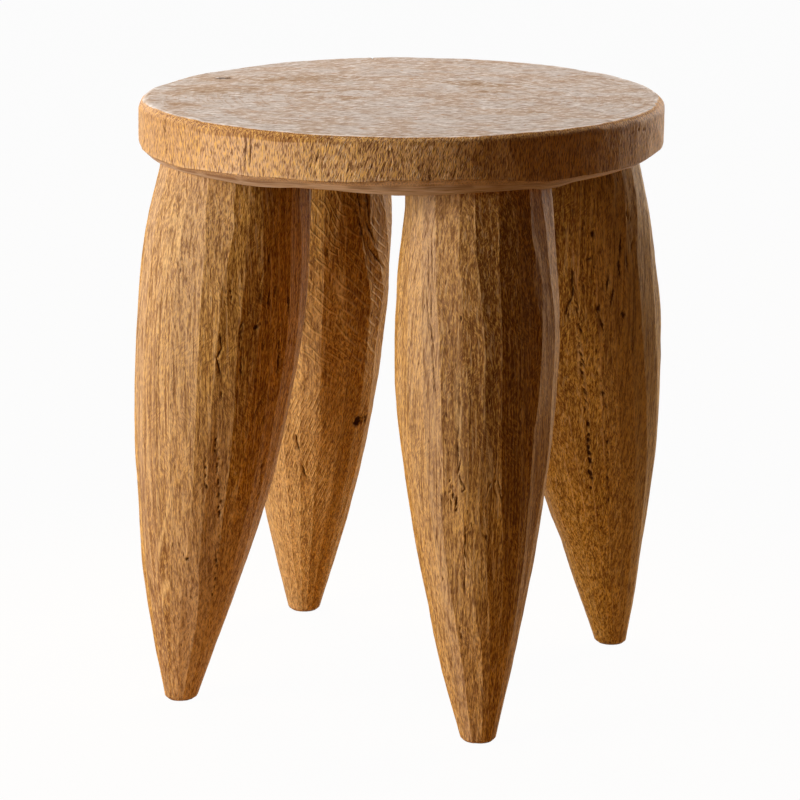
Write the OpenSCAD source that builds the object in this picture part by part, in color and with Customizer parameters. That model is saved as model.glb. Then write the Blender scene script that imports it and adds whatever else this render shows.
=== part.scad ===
// A four-legged round stool with a thick seat and spindle-shaped legs carved by hand.
// Z is up, the floor is Z = 0, and the stool stands centred on the origin.
// The legs stand on the diagonals, and the front is towards -Y.

/* [Overall] */
// Height of the seat's top above the floor
stool_h = 400; // [340:5:460]

/* [Seat] */
// Diameter of the seat
seat_d = 350; // [320:5:420]
// Thickness of the seat
seat_t = 37; // [34:1:55]
// Radius worn on the seat's top edge
rim_round = 4.5; // [2:0.5:8]
// Chamfer cut round the seat's bottom edge
rim_chamfer = 6; // [3:0.5:9]

/* [Legs] */
// Distance from the seat's edge in to the outer face of a leg's neck
neck_inset = 9; // [8:0.5:20]
// Diameter of a leg's neck, where it meets the seat
neck_d = 94; // [80:1:105]
// Diameter of a leg's belly, its widest place
belly_d = 108; // [95:1:120]
// Height of the belly above the floor
belly_z = 270; // [220:5:300]
// Diameter of a foot
foot_d = 21; // [16:1:40]
// Chamfer worn round a foot
foot_chamfer = 2; // [1:0.5:4]
// How far a foot stands out beyond its neck
splay = 41; // [10:1:50]
// Radius of the hollow carved where a neck runs into the seat
neck_hollow = 8; // [2:0.5:10]
// Number of flats that the blade leaves round a leg
flats = 24; // [14:1:28]
// How far a flat's edge rises and falls along a leg
flat_wave = 0.7; // [0:0.1:1.5]

/* [Joints] */
// Diameter of the round tenon on top of a leg
tenon_d = 50; // [30:1:60]
// Length of a tenon
tenon_l = 22; // [15:1:28]
// Glue gap between a tenon and the wall of its socket
glue_gap = 0.15; // [0.1:0.05:0.3]
// Gap between a tenon's end and the bottom of its socket
end_gap = 1; // [0.5:0.5:3]

/* [Hidden] */
$fn = 96;

// Legs in turning order from the front left, and the compass direction of each
FRONT_LEFT = 0;
FRONT_RIGHT = 1;
BACK_RIGHT = 2;
BACK_LEFT = 3;
LEG_TURN = [-135, -45, 45, 135];

// No two carved legs are alike: degrees that each neck and foot stray from the diagonal,
// millimetres that each foot strays outwards, and how stout each leg is
NECK_STRAY = [1.5, 0.5, -3, 5];
FOOT_STRAY = [0, -4.5, 0.5, 1];
FOOT_OUT = [0, -1, 6, 0];
STOUTNESS = [1.03, 0.97, 0.985, 1.015];

leg_h = stool_h - seat_t;
seat_r = seat_d / 2;
foot_r = foot_d / 2;
belly_r = belly_d / 2;
neck_r = neck_d / 2;
neck_ring_r = seat_r - neck_inset - neck_r;
foot_ring_r = neck_ring_r + splay;

// Rings of points up a leg: many up the body, and a few round the hollow under the seat
BODY_RINGS = 26;
HOLLOW_RINGS = 6;
hollow_z = leg_h - neck_hollow;
RING_Z = concat(
    [0],
    [for (j = [0:BODY_RINGS - 1])
        foot_chamfer + (hollow_z - foot_chamfer) * j / BODY_RINGS],
    [for (j = [0:HOLLOW_RINGS]) hollow_z + neck_hollow * j / HOLLOW_RINGS]
);

// How far each flat's edge strays round the leg, as a share of a flat's width
EDGE_STRAY = 0.25;
EDGE_WANDER = 0.12;
edge_stray = [for (leg = [0:3]) rands(-EDGE_STRAY, EDGE_STRAY, flats, 7 + leg)];

function polar(r, turn) = [r * cos(turn), r * sin(turn)];

function neck_centre(leg) = polar(neck_ring_r, LEG_TURN[leg] + NECK_STRAY[leg]);

function foot_centre(leg) =
    polar(foot_ring_r + FOOT_OUT[leg], LEG_TURN[leg] + FOOT_STRAY[leg]);

// The middle of a leg at height z: a straight line from foot to neck
function leg_centre(leg, z) =
    foot_centre(leg) + (neck_centre(leg) - foot_centre(leg)) * z / leg_h;

// A leg swells from its foot like a sine to the belly, and draws in a little to the neck
function body_r(z) = z < belly_z
    ? foot_r + (belly_r - foot_r) * sin(90 * z / belly_z)
    : neck_r + (belly_r - neck_r) * cos(90 * (z - belly_z) / (leg_h - belly_z));

function worn_r(z) = z < foot_chamfer ? foot_chamfer - z : 0;

// The hollow under the seat runs round the sides and the back of a neck, never its outer face
function hollow_reach(turn) = min(1, 1 - cos(turn));

function hollow_r(z, turn) = z <= hollow_z
    ? 0
    : neck_hollow * hollow_reach(turn) * (1 - sqrt(1 - pow((z - hollow_z) / neck_hollow, 2)));

// Where the edge between two flats runs at height z, as a turn about the leg's middle
function edge_turn(leg, k, z) =
    360 / flats * (k + edge_stray[leg][k] + EDGE_WANDER * sin(1.1 * z + 80 * k + 50 * leg));

// The blade bites more or less deeply along a flat, and evenly at the foot and under the seat
function edge_rise(leg, k, z) =
    flat_wave * sin(180 * z / leg_h) * sin(2.3 * z + 115 * k + 70 * leg);

function edge_r(leg, k, z) = let (turn = edge_turn(leg, k, z))
    body_r(z) * STOUTNESS[leg] - worn_r(z) + hollow_r(z, turn) + edge_rise(leg, k, z);

function edge_point(leg, k, z) = let (
    middle = leg_centre(leg, z),
    out = polar(edge_r(leg, k, z), LEG_TURN[leg] + edge_turn(leg, k, z))
) [middle.x + out.x, middle.y + out.y, z];

// The carved body of a leg: one ring of edge points for each height, skinned with triangles
module leg_body(leg) {
    rings = len(RING_Z);
    points = [for (z = RING_Z) for (k = [0:flats - 1]) edge_point(leg, k, z)];
    skin = [
        for (j = [0:rings - 2])
            for (k = [0:flats - 1])
                let (
                    here = j * flats + k,
                    next = j * flats + (k + 1) % flats,
                    above = here + flats,
                    above_next = next + flats
                )
                each [[here, above, above_next], [here, above_next, next]]
    ];
    sole = [for (k = [0:flats - 1]) k];
    shoulder = [for (k = [flats - 1:-1:0]) (rings - 1) * flats + k];
    polyhedron(points = points, faces = concat([sole], skin, [shoulder]));
}

// The tenon stands upright on the neck's flat shoulder, and is one piece with the leg
module tenon(leg) {
    root = 10;
    middle = neck_centre(leg);
    translate([middle.x, middle.y, leg_h - root])
        cylinder(d = tenon_d, h = root + tenon_l);
}

module socket(leg) {
    bore_start = 1;
    middle = neck_centre(leg);
    translate([middle.x, middle.y, leg_h - bore_start])
        cylinder(r = tenon_d / 2 + glue_gap, h = bore_start + tenon_l + end_gap);
}

module leg(leg) {
    color("peru") union() {
        leg_body(leg);
        tenon(leg);
    }
}

// Half of the seat's section, from its middle out to the rim
module seat_section() {
    polygon([
        [0, 0],
        [seat_r - rim_chamfer, 0],
        [seat_r, rim_chamfer],
        [seat_r, seat_t - rim_round],
        [seat_r - rim_round, seat_t - rim_round],
        [seat_r - rim_round, seat_t],
        [0, seat_t]
    ]);
    translate([seat_r - rim_round, seat_t - rim_round])
        circle(r = rim_round);
}

module seat() {
    color("tan") difference() {
        translate([0, 0, leg_h])
            rotate_extrude()
                seat_section();
        for (leg = [FRONT_LEFT:BACK_LEFT])
            socket(leg);
    }
}

seat();
leg(FRONT_LEFT);  // leg_front_left
leg(FRONT_RIGHT);  // leg_front_right
leg(BACK_RIGHT);  // leg_back_right
leg(BACK_LEFT);  // leg_back_left
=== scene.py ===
# %% [markdown]
# # A hand-carved stool
# This lesson dresses a round stool: a thick seat on four spindle-shaped legs, all cut with a
# blade from one kind of wood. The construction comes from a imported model, the frame, which
# gives the true sizes and places. Here each piece gets the surface that a carver leaves: long
# flats, short cuts, torn fibres, cracks and pits, and a worn, bleached top.

# %% Load the frame
import math

import bmesh
import bpy
import numpy as np
from mathutils import Matrix, Vector
from mathutils.bvhtree import BVHTree


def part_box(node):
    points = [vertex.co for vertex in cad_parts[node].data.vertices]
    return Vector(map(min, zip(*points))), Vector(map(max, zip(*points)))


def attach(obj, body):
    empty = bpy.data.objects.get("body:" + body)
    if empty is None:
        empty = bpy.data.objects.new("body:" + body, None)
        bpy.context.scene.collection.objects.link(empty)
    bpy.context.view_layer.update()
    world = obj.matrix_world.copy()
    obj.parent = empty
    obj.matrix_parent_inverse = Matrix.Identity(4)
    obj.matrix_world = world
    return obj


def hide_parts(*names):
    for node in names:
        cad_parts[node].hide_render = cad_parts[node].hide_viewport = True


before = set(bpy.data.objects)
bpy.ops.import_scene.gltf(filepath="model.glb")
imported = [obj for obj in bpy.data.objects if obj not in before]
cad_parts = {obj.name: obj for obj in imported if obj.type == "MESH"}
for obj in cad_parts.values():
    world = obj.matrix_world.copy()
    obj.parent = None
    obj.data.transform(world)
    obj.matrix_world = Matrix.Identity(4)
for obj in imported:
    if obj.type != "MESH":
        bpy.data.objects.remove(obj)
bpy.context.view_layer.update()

MM = 0.001
LEGS = ["leg_front_left", "leg_front_right", "leg_back_right", "leg_back_left"]

# %% [markdown]
# ## Three small helpers
# In Blender an object only places a data block, such as a mesh or a lamp, and shows up once a
# collection holds it. A bmesh is a mesh under work: it is turned into a mesh and set free when
# the work is done. And foreach_get reads all vertices of a mesh in one go, which is much faster
# than a loop.

# %% Three small helpers
def in_scene(name, data):
    made = bpy.data.objects.new(name, data)
    bpy.context.scene.collection.objects.link(made)
    return made


def as_mesh(shell, name):
    mesh = bpy.data.meshes.new(name)
    shell.to_mesh(mesh)
    shell.free()
    return mesh


def vertex_places(mesh):
    flat = np.empty(len(mesh.vertices) * 3)
    mesh.vertices.foreach_get("co", flat)
    return flat.reshape(-1, 3)


print("vertices of the frame's seat:", len(vertex_places(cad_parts["seat"].data)))

# %% [markdown]
# ## Camera
# The photograph was taken from a little above, through a long lens, with the stool turned a
# little to the left. The camera stands where the seat's rim and the four feet land on the same
# pixels. It could be aimed with a Track To constraint, but a matrix built from the three
# directions also holds the slight roll.

# %% Camera
TURN_OF_VIEW = math.radians(21)
LOOK_DOWN = 0.2353
ROLL = 0.0076
CAMERA_BACK = 2.4819
CAMERA_ASIDE = 0.6 * MM
CAMERA_HEIGHT = 0.7859
LENS_MM = 169.5
SENSOR_MM = 36


def place_camera():
    turned = Matrix.Rotation(TURN_OF_VIEW, 4, "Z")
    tilted = Matrix.Rotation(math.radians(90) - LOOK_DOWN, 4, "X")
    rolled = Matrix.Rotation(ROLL, 4, "Z")
    stand = Matrix.Translation((CAMERA_ASIDE, -CAMERA_BACK, CAMERA_HEIGHT))
    data = bpy.data.cameras.new("camera")
    data.lens = LENS_MM
    data.sensor_width = SENSOR_MM
    camera = in_scene("camera", data)
    camera.matrix_world = turned @ stand @ tilted @ rolled
    bpy.context.scene.camera = camera
    return camera


camera = place_camera()
print("camera at", [round(v, 3) for v in camera.location])

# %% [markdown]
# ## Measure the frame
# Nothing is typed in twice. Where a foot stands, where a neck meets the seat, how thick a tenon
# is and how deep its socket goes are all read from the model's own vertices.

# %% Measure the frame
seat_low, seat_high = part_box("seat")
LEG_HEIGHT = seat_low.z
SEAT_TOP = seat_high.z
SEAT_RADIUS = seat_high.x
NEAR = 0.05 * MM


def middle_of(points):
    return Vector((points.min(axis=0) + points.max(axis=0)) / 2)


def from_neck(points, leg):
    return np.hypot(points[..., 0] - leg["neck"].x, points[..., 1] - leg["neck"].y)


def measure_leg(name):
    points = vertex_places(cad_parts[name].data)
    top = points[:, 2].max()
    foot = middle_of(points[points[:, 2] < NEAR])
    tenon = points[points[:, 2] > top - NEAR]
    leg = {"foot": foot, "neck": middle_of(tenon), "top": float(top)}
    leg["neck"].z = LEG_HEIGHT
    leg["tenon"] = float(from_neck(tenon, leg).max())
    return leg


def measure_socket(leg):
    points = vertex_places(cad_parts["seat"].data)
    near = points[(from_neck(points, leg) < leg["tenon"] + MM) & (points[:, 2] < SEAT_TOP - MM)]
    return float(from_neck(near, leg).max()), float(near[:, 2].max())


legs = {name: measure_leg(name) for name in LEGS}
for name, leg in legs.items():
    leg["socket"], leg["socket_top"] = measure_socket(leg)
    print(name, "foot", [round(v / MM, 1) for v in leg["foot"]],
          "tenon", round(leg["tenon"] / MM, 2), "socket", round(leg["socket"] / MM, 2))

# %% [markdown]
# ## Noise made of waves
# A carved surface is never quite even. Blender's noise functions take one point at a time,
# which is slow for a mesh of this size, so the unevenness is a sum of a few dozen waves that
# run in random directions. A wave is longer along the grain than across it.

# %% Noise made of waves
WAVE_COUNT = 40


def ripples(points, size, seed):
    """Smooth noise, mostly from -2 to 2, whose waves are about size long along X, Y and Z."""
    rng = np.random.default_rng(seed)
    waves = rng.normal(size=(WAVE_COUNT, 3))
    waves /= np.linalg.norm(waves, axis=1, keepdims=True)
    waves *= rng.uniform(0.7, 1.4, size=(WAVE_COUNT, 1)) * 2 * math.pi / np.array(size)
    starts = rng.uniform(0, 2 * math.pi, WAVE_COUNT)
    total = np.zeros(points.shape[:-1])
    for wave, start in zip(waves, starts):
        total += np.sin(points @ wave + start)
    return total * math.sqrt(2 / WAVE_COUNT)


def eased(value, start, end):
    """0 before start, 1 after end, and a smooth rise between them."""
    share = np.clip((value - start) / (end - start), 0, 1)
    return share * share * (3 - 2 * share)


test_line = np.linspace((0, 0, 0), (1, 0, 0), 500)
print("ripples range", ripples(test_line, (0.1, 0.1, 0.1), 1).min().round(2))

# %% [markdown]
# ## A leg before it is carved
# Each leg of the frame already has flats, but they are coarse and don't lie where the photograph
# shows them. The carver's surface starts from the round form under them. Rays from the leg's
# middle line find how far out the surface is at each height and turn, and a Fourier transform
# keeps only its slow swings, which are the belly, the neck and the hollow under the seat.

# %% The round form of a leg
RAYS_ROUND = 96
SLOW_SWINGS = 9
ROW_STEP = 1.9 * MM
FOOT_WORN = 3 * MM
FOOT_ROWS = 5
HOLLOW = 8 * MM
HOLLOW_ROWS = 11


def around(count):
    return 2 * math.pi * np.arange(count) / count


def leg_heights():
    foot = np.linspace(0, FOOT_WORN, FOOT_ROWS + 1)[:-1]
    body = np.arange(FOOT_WORN, LEG_HEIGHT - HOLLOW, ROW_STEP)
    hollow = LEG_HEIGHT - HOLLOW + HOLLOW * np.sin(np.linspace(0, math.pi / 2, HOLLOW_ROWS))
    return np.concatenate([foot, body, hollow])


def round_form(name):
    """The heights of a leg's rows, and the slow swings of the radius round the leg at each."""
    leg = legs[name]
    surface = BVHTree.FromObject(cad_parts[name], bpy.context.evaluated_depsgraph_get())
    heights = leg_heights()
    measured = np.empty((len(heights), RAYS_ROUND))
    for row, height in enumerate(heights):
        level = min(max(height, NEAR), LEG_HEIGHT - NEAR)
        middle = leg["foot"].lerp(leg["neck"], level / LEG_HEIGHT)
        for column, turn in enumerate(around(RAYS_ROUND)):
            outwards = Vector((math.cos(turn), math.sin(turn), 0))
            measured[row, column] = surface.ray_cast(middle, outwards)[3]
    return heights, np.fft.rfft(measured, axis=1)[:, :SLOW_SWINGS] / RAYS_ROUND


def radius_at(swings, turns):
    radii = swings[:, :1].real + np.zeros_like(turns)
    for number in range(1, SLOW_SWINGS):
        radii += 2 * (swings[:, number, None] * np.exp(1j * number * turns)).real
    return radii


for name in LEGS:
    legs[name]["heights"], legs[name]["swings"] = round_form(name)
    print(name, "mean radius at the belly, mm:", round(float(legs[name]["swings"][:, 0].real.max()) / MM, 1))

# %% [markdown]
# ## Edges of the flats
# A drawknife takes long shavings and leaves flats that meet in edges. The edges that the
# photograph shows are laid down one by one, from the left, each as a few places with a turn in
# degrees and a height in millimetres. The sides that it doesn't show get edges at even
# distances, with a little sway. The mesh will have a column of vertices along every edge, so
# that each one stays crisp.

# %% Edges that the photograph shows
SEEN_EDGES = {
    "leg_front_left": [
        [(-148, 330), (-141, 180), (-129, 60)],
        [(-131, 330), (-127, 180), (-116, 60)],
        [(-116, 330), (-111, 180), (-104, 60)],
        [(-103, 330), (-97, 180), (-92, 60)],
        [(-88, 349), (-83, 314), (-80.5, 273), (-79, 227), (-75, 150), (-78, 51), (-72, 22)],
        [(-66.5, 341), (-64.4, 329), (-66, 310), (-69, 285), (-67.7, 273), (-66.2, 216), (-62.7, 101),
         (-54, 58)],
        [(-55, 342), (-53.4, 334), (-55, 312), (-53, 290), (-53.6, 262), (-51.6, 228), (-50.7, 210),
         (-43, 100), (-36, 44)],
        [(-45, 345), (-41, 300), (-39, 240), (-36, 150), (-27, 60)],
        [(-31, 340), (-27, 280), (-24, 200), (-20, 100), (-10, 44)],
        [(-19, 340), (-14, 280), (-11, 200), (-5, 100)],
        [(-8, 341), (0, 300), (2, 230), (6, 100)],
    ],
    "leg_front_right": [
        [(-149, 330), (-143, 200), (-134, 60)],
        [(-132, 330), (-128, 200), (-120, 60)],
        [(-118, 345), (-116, 310), (-113, 261), (-112, 100)],
        [(-104.5, 348), (-102, 324), (-101, 294), (-97.6, 270), (-97.6, 200), (-103, 140), (-102, 118),
         (-94, 50)],
        [(-84.7, 346), (-84.8, 318), (-82, 300), (-81.3, 261), (-78.5, 243), (-77.2, 219), (-82.8, 140),
         (-74.2, 104), (-72.3, 84), (-65.5, 66), (-59, 20)],
        [(-71.6, 345), (-71.5, 330), (-68, 296), (-65.3, 261), (-66.2, 196), (-68.5, 160), (-62.4, 128),
         (-57.4, 97), (-50, 50)],
        [(-53.8, 346), (-54, 318), (-53.2, 272), (-52.5, 210), (-52, 167), (-48, 140), (-45.4, 127),
         (-38, 60)],
        [(-39, 350), (-38, 300), (-36, 250), (-35, 200), (-30.7, 144), (-29, 126), (-22, 60)],
        [(-25.4, 357), (-26.3, 333), (-20.4, 304), (-18.4, 280), (-19.7, 234), (-22.6, 210), (-18, 100)],
        [(-9, 357), (-7, 331), (-5.7, 302), (-2.4, 277), (-0.5, 242), (-2, 130)],
    ],
    "leg_back_right": [
        [(-140, 300), (-136, 100)],
        [(-124, 300), (-121, 100)],
        [(-108, 300), (-106, 200), (-97, 124), (-98, 92)],
        [(-89, 300), (-91, 240), (-86, 124)],
        [(-66, 333), (-71, 287), (-74, 240), (-74, 150)],
        [(-51, 333), (-57, 280), (-60, 200), (-60, 100)],
        [(-33, 338), (-41, 320), (-45, 280), (-46, 200), (-44, 100)],
        [(-22, 335), (-32, 290), (-34, 240), (-30, 150), (-25, 60)],
        [(-9.6, 329), (-19, 290), (-22, 239), (-13.4, 138), (-9.6, 89), (-5, 53), (-7, 10)],
        [(6, 330), (-2, 280), (-5, 239), (3, 138), (8, 60)],
    ],
    "leg_back_left": [
        [(-150, 300), (-140, 60)],
        [(-132, 300), (-123, 60)],
        [(-114, 300), (-108, 60)],
        [(-96, 300), (-92.7, 74), (-93, 45), (-90, 17)],
        [(-78, 320), (-76, 200), (-77, 60)],
        [(-62, 320), (-60, 200), (-61, 60)],
        [(-50, 330), (-44.6, 259), (-36, 196), (-42, 60)],
        [(-35, 319), (-28.8, 279), (-18, 240), (-20, 150), (-25, 60)],
        [(-24, 300), (0, 246), (-5, 150), (-9, 60)],
        [(-8, 320), (14, 240), (9, 60)],
    ],
}
print("edges laid down:", {name: len(edges) for name, edges in SEEN_EDGES.items()})

# %% Lines of the edges
CARVING = {
    "leg_front_left": {"seed": 11, "bites": 12},
    "leg_front_right": {"seed": 23, "bites": 12},
    "leg_back_right": {"seed": 37, "bites": 14},
    "leg_back_left": {"seed": 41, "bites": 40},
}
HIDDEN_FLATS = 14
LONGEST_SWAY = 0.26
SEEN_SWAY = 0.6
HIDDEN_SWAY = 1.6
HIDDEN_SHIFT = 0.22
FLAT_SHARES = (0, 0.035, 0.1, 0.18, 0.26, 0.34, 0.42, 0.5, 0.58, 0.66, 0.74, 0.82, 0.9, 0.965)


def swaying(heights, rng, reach):
    """A gentle sway from side to side along a leg, in degrees."""
    total = np.zeros(len(heights))
    for wavelength in (LONGEST_SWAY, 0.11, 0.05):
        start = rng.uniform(0, 2 * math.pi)
        total += reach * wavelength / LONGEST_SWAY * np.sin(2 * math.pi * heights / wavelength + start)
    return total


def edge_lines(name):
    """The turn of each edge at each height, in order round the leg, with the first again at the end."""
    heights = legs[name]["heights"]
    rng = np.random.default_rng(CARVING[name]["seed"])
    lines = []
    for places in SEEN_EDGES[name]:
        turns, levels = zip(*reversed(places))
        lines.append(np.interp(heights / MM, levels, turns) + swaying(heights, rng, SEEN_SWAY))
    first, last = lines[0] + 360, lines[-1]
    for number in range(1, HIDDEN_FLATS):
        share = (number + rng.uniform(-HIDDEN_SHIFT, HIDDEN_SHIFT)) / HIDDEN_FLATS
        lines.append(last + (first - last) * share + swaying(heights, rng, HIDDEN_SWAY))
    return np.radians(np.array(lines + [first]))


def column_turns(lines):
    """The turns of the mesh's columns: one on each edge, and more between, close to the edges."""
    columns = [start + (end - start) * share
               for start, end in zip(lines, lines[1:]) for share in FLAT_SHARES]
    return np.array(columns).T


for name in LEGS:
    leg = legs[name]
    leg["lines"] = edge_lines(name)
    leg["turns"] = column_turns(leg["lines"])
    leg["round"] = radius_at(leg["swings"], leg["turns"])
    print(name, "flats:", len(leg["lines"]) - 1, "columns:", leg["turns"].shape[1])

# %% [markdown]
# ## Outlines that the photograph shows
# The legs were cut by eye, so none is quite round. The model's legs are, and the photograph
# shows by how much the real outlines stray from them. For each leg, left and right as seen,
# these are a few heights and how much further out the outline lies there, in millimetres. Each
# bulge fades away over a quarter turn to both sides.

# %% Outlines that the photograph shows
SEEN_OUTLINES = {
    "leg_front_left": {
        "left": [(0, -1.4), (18, -0.9), (33, 0), (64, 0.8), (95, 0.8), (125, -0.4), (155, -1.7), (185, -1.8),
                 (215, -1.2), (244, -1.1), (273, -0.5), (302, 0.8), (331, 2), (363, 1)],
        "right": [(0, 0.8), (33, 0.3), (64, 1.1), (125, 1.1), (160, 0.8), (220, 0)],
    },
    "leg_front_right": {
        "left": [(0, 0.8), (16, 1.4), (45, 2.6), (70, 2.6), (88, 1.4), (117, 0.8), (150, 0.8), (175, 1.4),
                 (203, 2), (231, 2), (259, 0.8), (286, -0.5), (343, -0.3), (363, 1.6)],
        "right": [(0, 0.9), (16, 0.5), (46, 0.5), (75, 0), (104, -0.8), (132, -1.4), (161, -1.4),
                  (200, -0.8), (250, 0)],
    },
    "leg_back_right": {
        "left": [(0, 0.6), (30, 0), (78, 0.3), (94, 1.6), (115, 2), (200, 1.5), (363, 0.5)],
        "right": [(61, 0), (94, 0.6), (126, 0.6), (159, 1.3), (191, 2.7), (215, 3.2), (253, 2.7), (284, 1.6),
                  (315, 1.6), (341, 1.3), (363, 0.8)],
    },
    "leg_back_left": {
        "left": [(0, 0.6), (20, 0.5), (71, 0.8), (120, 0.5), (200, 0)],
        "right": [(0, 0), (10, 0), (36, 0.4), (71, 1.2), (106, 0.6), (139, -0.6), (172, -1.2), (204, -1.5),
                  (269, -1.5), (301, -0.4), (363, 0)],
    },
}
SIDE_TURNS = {"left": TURN_OF_VIEW + math.pi, "right": TURN_OF_VIEW}


def bulge(name):
    """How much further out each point of the round form lies, from the outlines in the photograph."""
    leg = legs[name]
    total = np.zeros_like(leg["round"])
    for side, places in SEEN_OUTLINES[name].items():
        heights, outwards = np.array(places).T * MM
        grown = np.interp(leg["heights"], heights, outwards)[:, None]
        total += grown * np.maximum(np.cos(leg["turns"] - SIDE_TURNS[side]), 0) ** 2
    return total


for name in LEGS:
    outwards = bulge(name)
    legs[name]["round"] = legs[name]["round"] + outwards
    print(name, "outline moved, mm:", (outwards.min() / MM).round(1), "to", (outwards.max() / MM).round(1))

# %% [markdown]
# ## Blade cuts
# Each flat is a cut whose depth falls off with the square of the distance from its middle line
# and is nothing at its two edges. A blade with a slightly bent edge scoops it a little hollow.
# An adze or a short knife takes boat-shaped bites as well. The deepest cut wins at each point,
# so a bite takes away what it crosses. Where the deepest and the second deepest cut are nearly
# equal there is a ridge. Edges could be drawn with a Bevel on marked edges, but here they
# follow from the cuts, as they do on the real leg.

# %% Blade cuts
SOFTNESS = 0.0002
RIDGE_WIDTH = 0.002
SCOOPED = (1.1, 1.5)
BITE_LENGTH = (0.02, 0.06)
BITE_REACH = (7, 10)
BITE_LEAN = 1.2
BITE_BEND = 1.25
BELLY = 54


def turned_away(turns, middle):
    """How far each turn is from another, between minus and plus half a circle."""
    return (turns - middle + math.pi) % (2 * math.pi) - math.pi


def flat_cuts(turns, lines, rng):
    """How deep the cut of each flat goes, as a share of the radius."""
    depths = []
    for start, end in zip(lines, lines[1:]):
        away = turned_away(turns, ((start + end) / 2)[:, None])
        half = (end - start)[:, None] / 2
        depths.append(rng.uniform(*SCOOPED) * (half * half - away * away) / 2)
    return depths


def short_cuts(turns, heights, rng, count):
    """Boat-shaped bites, with the same measure of depth."""
    depths = []
    for number in range(count):
        place = rng.uniform(10 * MM, LEG_HEIGHT - 10 * MM)
        turn = rng.uniform(0, 2 * math.pi)
        half_length = rng.uniform(*BITE_LENGTH)
        reach = math.radians(rng.uniform(*BITE_REACH))
        lean = rng.normal(0, BITE_LEAN)
        away = turned_away(turns, (turn + lean * (heights - place))[:, None])
        along = ((heights - place) / half_length) ** 2
        depths.append(reach * reach / 2 * (1 - along[:, None]) - away * away / 2 * BITE_BEND)
    return depths


def carve(leg, seed, bites):
    """The depth of all cuts together, and how near each point is to a ridge, from 0 to 1."""
    rng = np.random.default_rng(seed)
    turns, heights = leg["turns"], leg["heights"]
    depths = flat_cuts(turns, leg["lines"], rng) + short_cuts(turns, heights, rng, bites)
    deepest = np.full(turns.shape, -1.0)
    second = deepest.copy()
    total = np.zeros_like(deepest)
    for depth in depths:
        second = np.maximum(second, np.minimum(depth, deepest))
        deepest = np.maximum(deepest, depth)
        total += np.exp(np.clip(depth / SOFTNESS, -60, 300))
    ridge = np.exp(-((deepest - second) / RIDGE_WIDTH) ** 2)
    return np.log(total) * SOFTNESS, ridge


for name in LEGS:
    leg = legs[name]
    leg["cuts"], leg["ridge"] = carve(leg, **CARVING[name])
    print(name, "cut depth, mm:", (leg["cuts"].mean() * BELLY).round(2),
          (leg["cuts"].max() * BELLY).round(2))

# %% [markdown]
# ## The tone of each flat
# Each cut opens the wood at its own slant and each flat has weathered in its own way, so the
# tone changes from flat to flat and stops at the edges. Two masks carry that to the material:
# pale is partly how far a flat has greyed and partly a painted highlight on the flats that face
# the lamps, and shade is partly how dark its wood is and partly a painted shade, on the flats that
# turn away from the key lamp, that the seat and the other legs would shade, and low on the lit
# side. For the flats that the photograph shows, each row holds a height in millimetres and the
# values from the left at that height, and the tone changes slowly between the rows. The other
# flats are drawn by lot.

# %% The tone of each flat
# Pale rows are partly a painted highlight, and shade rows partly a painted shade.
SEEN_TONES = {
    "leg_front_left": {
        "pale": {330: (0.8, 0.6, 0.6, 0.7, 0.4, 0.05, 0, 0, 0, 0.1, 0),
                 250: (0.8, 0.6, 0.5, 0.6, 0.15, 0.05, 0, 0, 0, 0.1, 0),
                 160: (0.8, 0.6, 0.5, 0.5, 0.35, 0.45, 0, 0, 0.1, 0.25, 0.1),
                 80: (0.6, 0.5, 0.3, 0.6, 0.8, 0.7, 0.6, 0.6, 0.6, 0.7, 0.7)},
        "dark_wood_and_painted_shade": {330: (0.2, 0.1, 0.05, 0, 0, 0.05, 0.2, 0.25, 0.2, 0, 0),
                  200: (0.6, 0.5, 0.2, 0, 0, 0, 0.2, 0.25, 0.2, 0, 0),
                  90: (1, 1, 0.9, 0.2, 0, 0, 0, 0, 0, 0, 0)}},
    "leg_front_right": {
        "pale": {330: (0.35, 0.7, 0.95, 0.4, 0.2, 0.05, 0, 0, 0.5),
                 200: (0.35, 0.5, 0.75, 0.3, 0.15, 0.05, 0, 0, 0.4)},
        "dark_wood_and_painted_shade": {336: (0, 0, 0.3, 0.45, 0.55, 0.85, 0.7, 0.45, 0.1),
                  257: (0, 0.05, 0.45, 0.85, 0.9, 1, 0.8, 0.5, 0.15),
                  200: (0, 0.1, 0.4, 0.7, 0.7, 0.8, 0.7, 0.5, 0.1),
                  160: (0, 0, 0.05, 0.1, 0.1, 0.15, 0.35, 0.3, 0.1),
                  60: (0, 0, 0.1, 0.1, 0.3, 0.1, 0.05, 0.05, 0)}},
    "leg_back_right": {
        "pale": {330: (0.1, 0.05, 0.05, 0.05, 0.1, 0.35, 0.6, 0.75, 0.9),
                 150: (0.1, 0.05, 0.05, 0.05, 0.05, 0.2, 0.4, 0.65, 0.8)},
        "dark_wood_and_painted_shade": {310: (0.5, 0.6, 0.75, 0.65, 0.2, 0, 0, 0, 0), 210: (0, 0.4, 0.6, 0.4, 0.2, 0.05, 0, 0, 0),
                  90: (0, 0, 0, 0.05, 0.15, 0.1, 0.05, 0, 0)}},
    "leg_back_left": {
        "pale": {310: (0.3, 0.25, 0.2, 0.15, 0.1, 0.1, 0.05, 0.15, 0.6),
                 200: (0.7, 0.7, 0.65, 0.55, 0.7, 0.2, 0.05, 0.15, 0.6),
                 100: (0.85, 0.8, 0.8, 0.6, 0.4, 0.3, 0.15, 0.2, 0.6)},
        "dark_wood_and_painted_shade": {310: (0.2, 0.1, 0, 0.15, 0.25, 0.2, 0.25, 0.15, 0),
                  200: (0.1, 0, 0, 0, 0.2, 0.2, 0.2, 0.1, 0),
                  100: (0.15, 0.15, 0.05, 0, 0.1, 0.15, 0.15, 0.1, 0.1)}},
}


MOST = {"pale": 0.8, "dark_wood_and_painted_shade": 0.6}


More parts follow.
